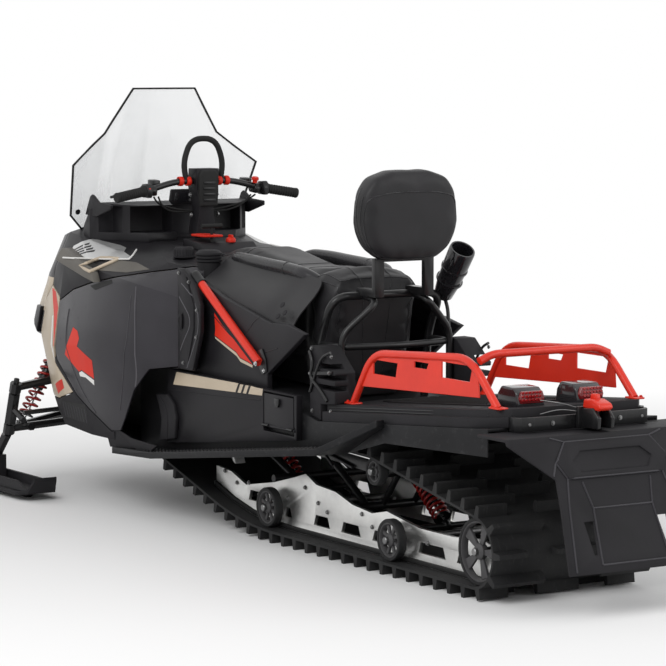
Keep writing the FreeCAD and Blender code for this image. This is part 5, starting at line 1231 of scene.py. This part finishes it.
# boards: rows of teeth on the tread, found from above
boards = bpy.data.objects["running_boards.dressed"]
bpy.context.view_layer.update()
nothing()
bpy.ops.mesh.primitive_cone_add(vertices=6, radius1=0.0045, radius2=0.0025, depth=0.004,
    end_fill_type="NGON")
tooth = frozen(bpy.context.object)
teeth = []
for row, shift in ((352, 0), (372, 12), (392, 0), (408, 12)):
    for i in range(46):
        above = spot(1780 - i * 24 - shift, row, 900)
        hit, place, normal, _ = boards.ray_cast(above, Vector((0, 0, -1)))
        if hit and normal.z > 0.7:
            teeth.append(copyAt(tooth, Matrix.Translation(place + normal * 0.0016)))
bpy.data.objects.remove(tooth)
finished("boardTeeth", teeth, "frameBlack", smooth=20.0, both=True)
print("rear made")

# right hand grip beside the pillion: a smooth tapered tube, hollow at its top
gripAxis = (spot(795, -226, 952) - spot(912, -226, 792)).normalized()
tubeLine = [(0, 0), (24, 0), (31, 8), (38, 60), (42, 130), (43, 190), (41, 196), (36, 196), (34, 190),
    (33, 150), (0, 146)]
tubes = [turned(tubeLine, (912, -226, 794), gripAxis, 36)]
for reach in (70, 118):
    tubes.append(turned([(39.5, -4), (44, -4), (45, 0), (44, 4), (39.5, 4)],
        (912 + gripAxis.x * reach, -226, 794 + gripAxis.z * reach), gripAxis, 36))
finished("gripTubes", tubes, "bodyGloss", node="hand_guard")
guardStay = bent([(905, -226, 800), (880, -226, 760), (868, -222, 690), (862, -210, 655)], 6.0, 30.0, 4)
finished("guardStay", [guardStay], "frameBlack")

# hatch: two hinges at its foot and a latch at its top, both on the door
hatchParts = [plate([(1030, 486), (1002, 486), (1002, 470), (1008, 458), (1024, 458), (1030, 470)], "xz",
    329, 335, 2.0)]
hatchParts += [bent([(x - 18, 331, 394), (x + 18, 331, 394)], 4.0, 1.0, 3) for x in (1090, 940)]
finished("hatchFittings", hatchParts, "frameBlack", "hatch")

# snow flap: raised folds run from the ring to the corners, in a lighter tone that is a painted highlight
flapSheet = bpy.data.objects["snow_flap.dressed"]
flapFolds = [[(150, 481), (194, 428), (167, 384), (0, 384)], [(0, 481), (150, 481)],
    [(167, 384), (184, 310), (212, 136)], [(194, 428), (212, 392)], [(150, 481), (196, 494)],
    [(120, 372), (104, 300), (118, 150)], [(104, 300), (0, 300)], [(118, 150), (0, 150)]]


def flapFold(points, side):
    laid = []
    for (y, z), (nextY, nextZ) in zip(points, points[1:]):
        for i in range(9):
            behind = spot(-700, (y + (nextY - y) * i / 8) * side, z + (nextZ - z) * i / 8)
            hit, place, _, _ = flapSheet.ray_cast(behind, Vector((1, 0, 0)))
            if hit:
                laid.append(measured(place))
    return [bent(laid, 3.2, 0.5, 1)] if len(laid) > 2 else []


bpy.context.view_layer.update()
finished("flapFolds", [fold for points in flapFolds for side in (1, -1) for fold in flapFold(points, side)],
    "flapPaintedSheen")

# bright guide clips along the inside of the track's lower run
clips = [plate([(x, 41), (x + 26, 41), (x + 26, 47), (x, 47)], "xz", y - 9, y + 9, 1.5,
    1) for x in range(1180, -60, -62) for y in (118, -118)]
finished("trackClips", clips, "boltSteel")

# brackets behind the seat: hoses, a strap and screws over the slatted block
hoses = [bent([(874, 297, 648), (846, 301, 612), (868, 300, 566), (812, 298, 536), (770, 296, 500)], 5.5,
    26.0, 3), bent([(752, 296, 652), (794, 301, 636), (830, 300, 588), (872, 297, 520)], 4.5, 26.0, 3),
    bent([(880, 280, 640), (905, 262, 600), (900, 262, 540), (878, 284, 500)], 5.0, 26.0, 3),
    plate([(742, 596), (874, 584), (872, 572), (742, 584)], "xz", 294, 300, 1.5, 1)]
finished("bracketHoses", hoses, "frameBlack", both=True)
bracketBolts = ((752, 300, 590), (864, 300, 579), (748, 293.5, 640), (866, 293.5, 656), (752, 293.5, 470),
    (862, 293.5, 462))
bolts("bracketBolts", [(*place, (0, 1, 0), 1.3) for place in bracketBolts])

# dash wings: a peaked rim stands at each outer end of the pockets
finLine = [(2388, 1004), (2350, 1070), (2336, 1078), (2318, 1072), (2282, 1051), (2190, 1046), (2190, 1030),
    (2300, 1000)]
finished("dashFins", [plate(finLine, "xz", 302, 313, 4.0, 3)], "plasticBlack", both=True)
print("fittings made")

# studio: two soft lamps, a sky, and a floor that is pale only where the shadow falls
studio = {"sky": 0.62, "aim": (0, 0, 0.5), "floorNear": 1.6, "floorFar": 4.2, "floorSize": 60}
lamps = {
    "keyLamp": {"place": (-2.5, 4.5, 4.2), "size": (3.5, 3.0), "watts": 150.0},
    "fillLamp": {"place": (-4.5, -3.0, 3.0), "size": (3.0, 3.0), "watts": 55.0},
}
for name, lamp in lamps.items():
    data = bpy.data.lights.new(name, "AREA")
    data.shape = "RECTANGLE"
    data.size, data.size_y = lamp["size"]
    data.energy = lamp["watts"]
    aimed(linked(name, data), lamp["place"], Vector(studio["aim"]) - Vector(lamp["place"]))


def setWorld():
    # the camera, glass and gloss see plain white, and all else is lit by the sky
    world = bpy.data.worlds.new("studioWorld")
    world.use_nodes = True
    nodes, links = world.node_tree.nodes, world.node_tree.links
    sky, white = nodes["Background"], nodes.new("ShaderNodeBackground")
    for shade, strength in ((sky, studio["sky"]), (white, 1.0)):
        shade.inputs["Color"].default_value = (1, 1, 1, 1)
        shade.inputs["Strength"].default_value = strength
    rays, mixed = nodes.new("ShaderNodeLightPath"), nodes.new("ShaderNodeMixShader")
    either, both = nodes.new("ShaderNodeMath"), nodes.new("ShaderNodeMath")
    either.operation = both.operation = "MAXIMUM"
    for source, target in ((rays.outputs["Is Camera Ray"], either.inputs[0]),
            (rays.outputs["Is Transmission Ray"], either.inputs[1]), (either.outputs[0], both.inputs[0]),
            (rays.outputs["Is Glossy Ray"], both.inputs[1]), (both.outputs[0], mixed.inputs[0]),
            (sky.outputs[0], mixed.inputs[1]), (white.outputs[0], mixed.inputs[2]),
            (mixed.outputs[0], nodes["World Output"].inputs["Surface"])):
        links.new(source, target)
    bpy.context.scene.world = world


def paleFloor():
    # pale near the object, where the shadow falls, and plain white for the camera further out
    finish = Finish("floorPale", Roughness=0.9, Base_Color=(0.94, 0.94, 0.94), Specular_IOR_Level=0.0)
    away = finish.node("ShaderNodeVectorMath", {"operation": "LENGTH"}, {0: finish.place()}, "Value")
    fade = finish.ramp(away, (studio["floorNear"], 0.0), (studio["floorFar"], 1.0))
    seen = finish.node("ShaderNodeLightPath", output="Is Camera Ray")
    white = finish.node("ShaderNodeEmission", None, {"Color": (1.0, 1.0, 1.0), "Strength": 1.0})
    finish.mixed(fade * seen, white)
    return finish.material


setWorld()
bpy.context.scene.view_settings.view_transform = "Standard"
nothing()
bpy.ops.mesh.primitive_plane_add(size=studio["floorSize"])
floorPiece = bpy.context.object
floorPiece.name = "studioFloor"
floorPiece.data.materials.append(paleFloor())
floorPiece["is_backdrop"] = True
bpy.data.objects.remove(template)

low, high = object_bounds()
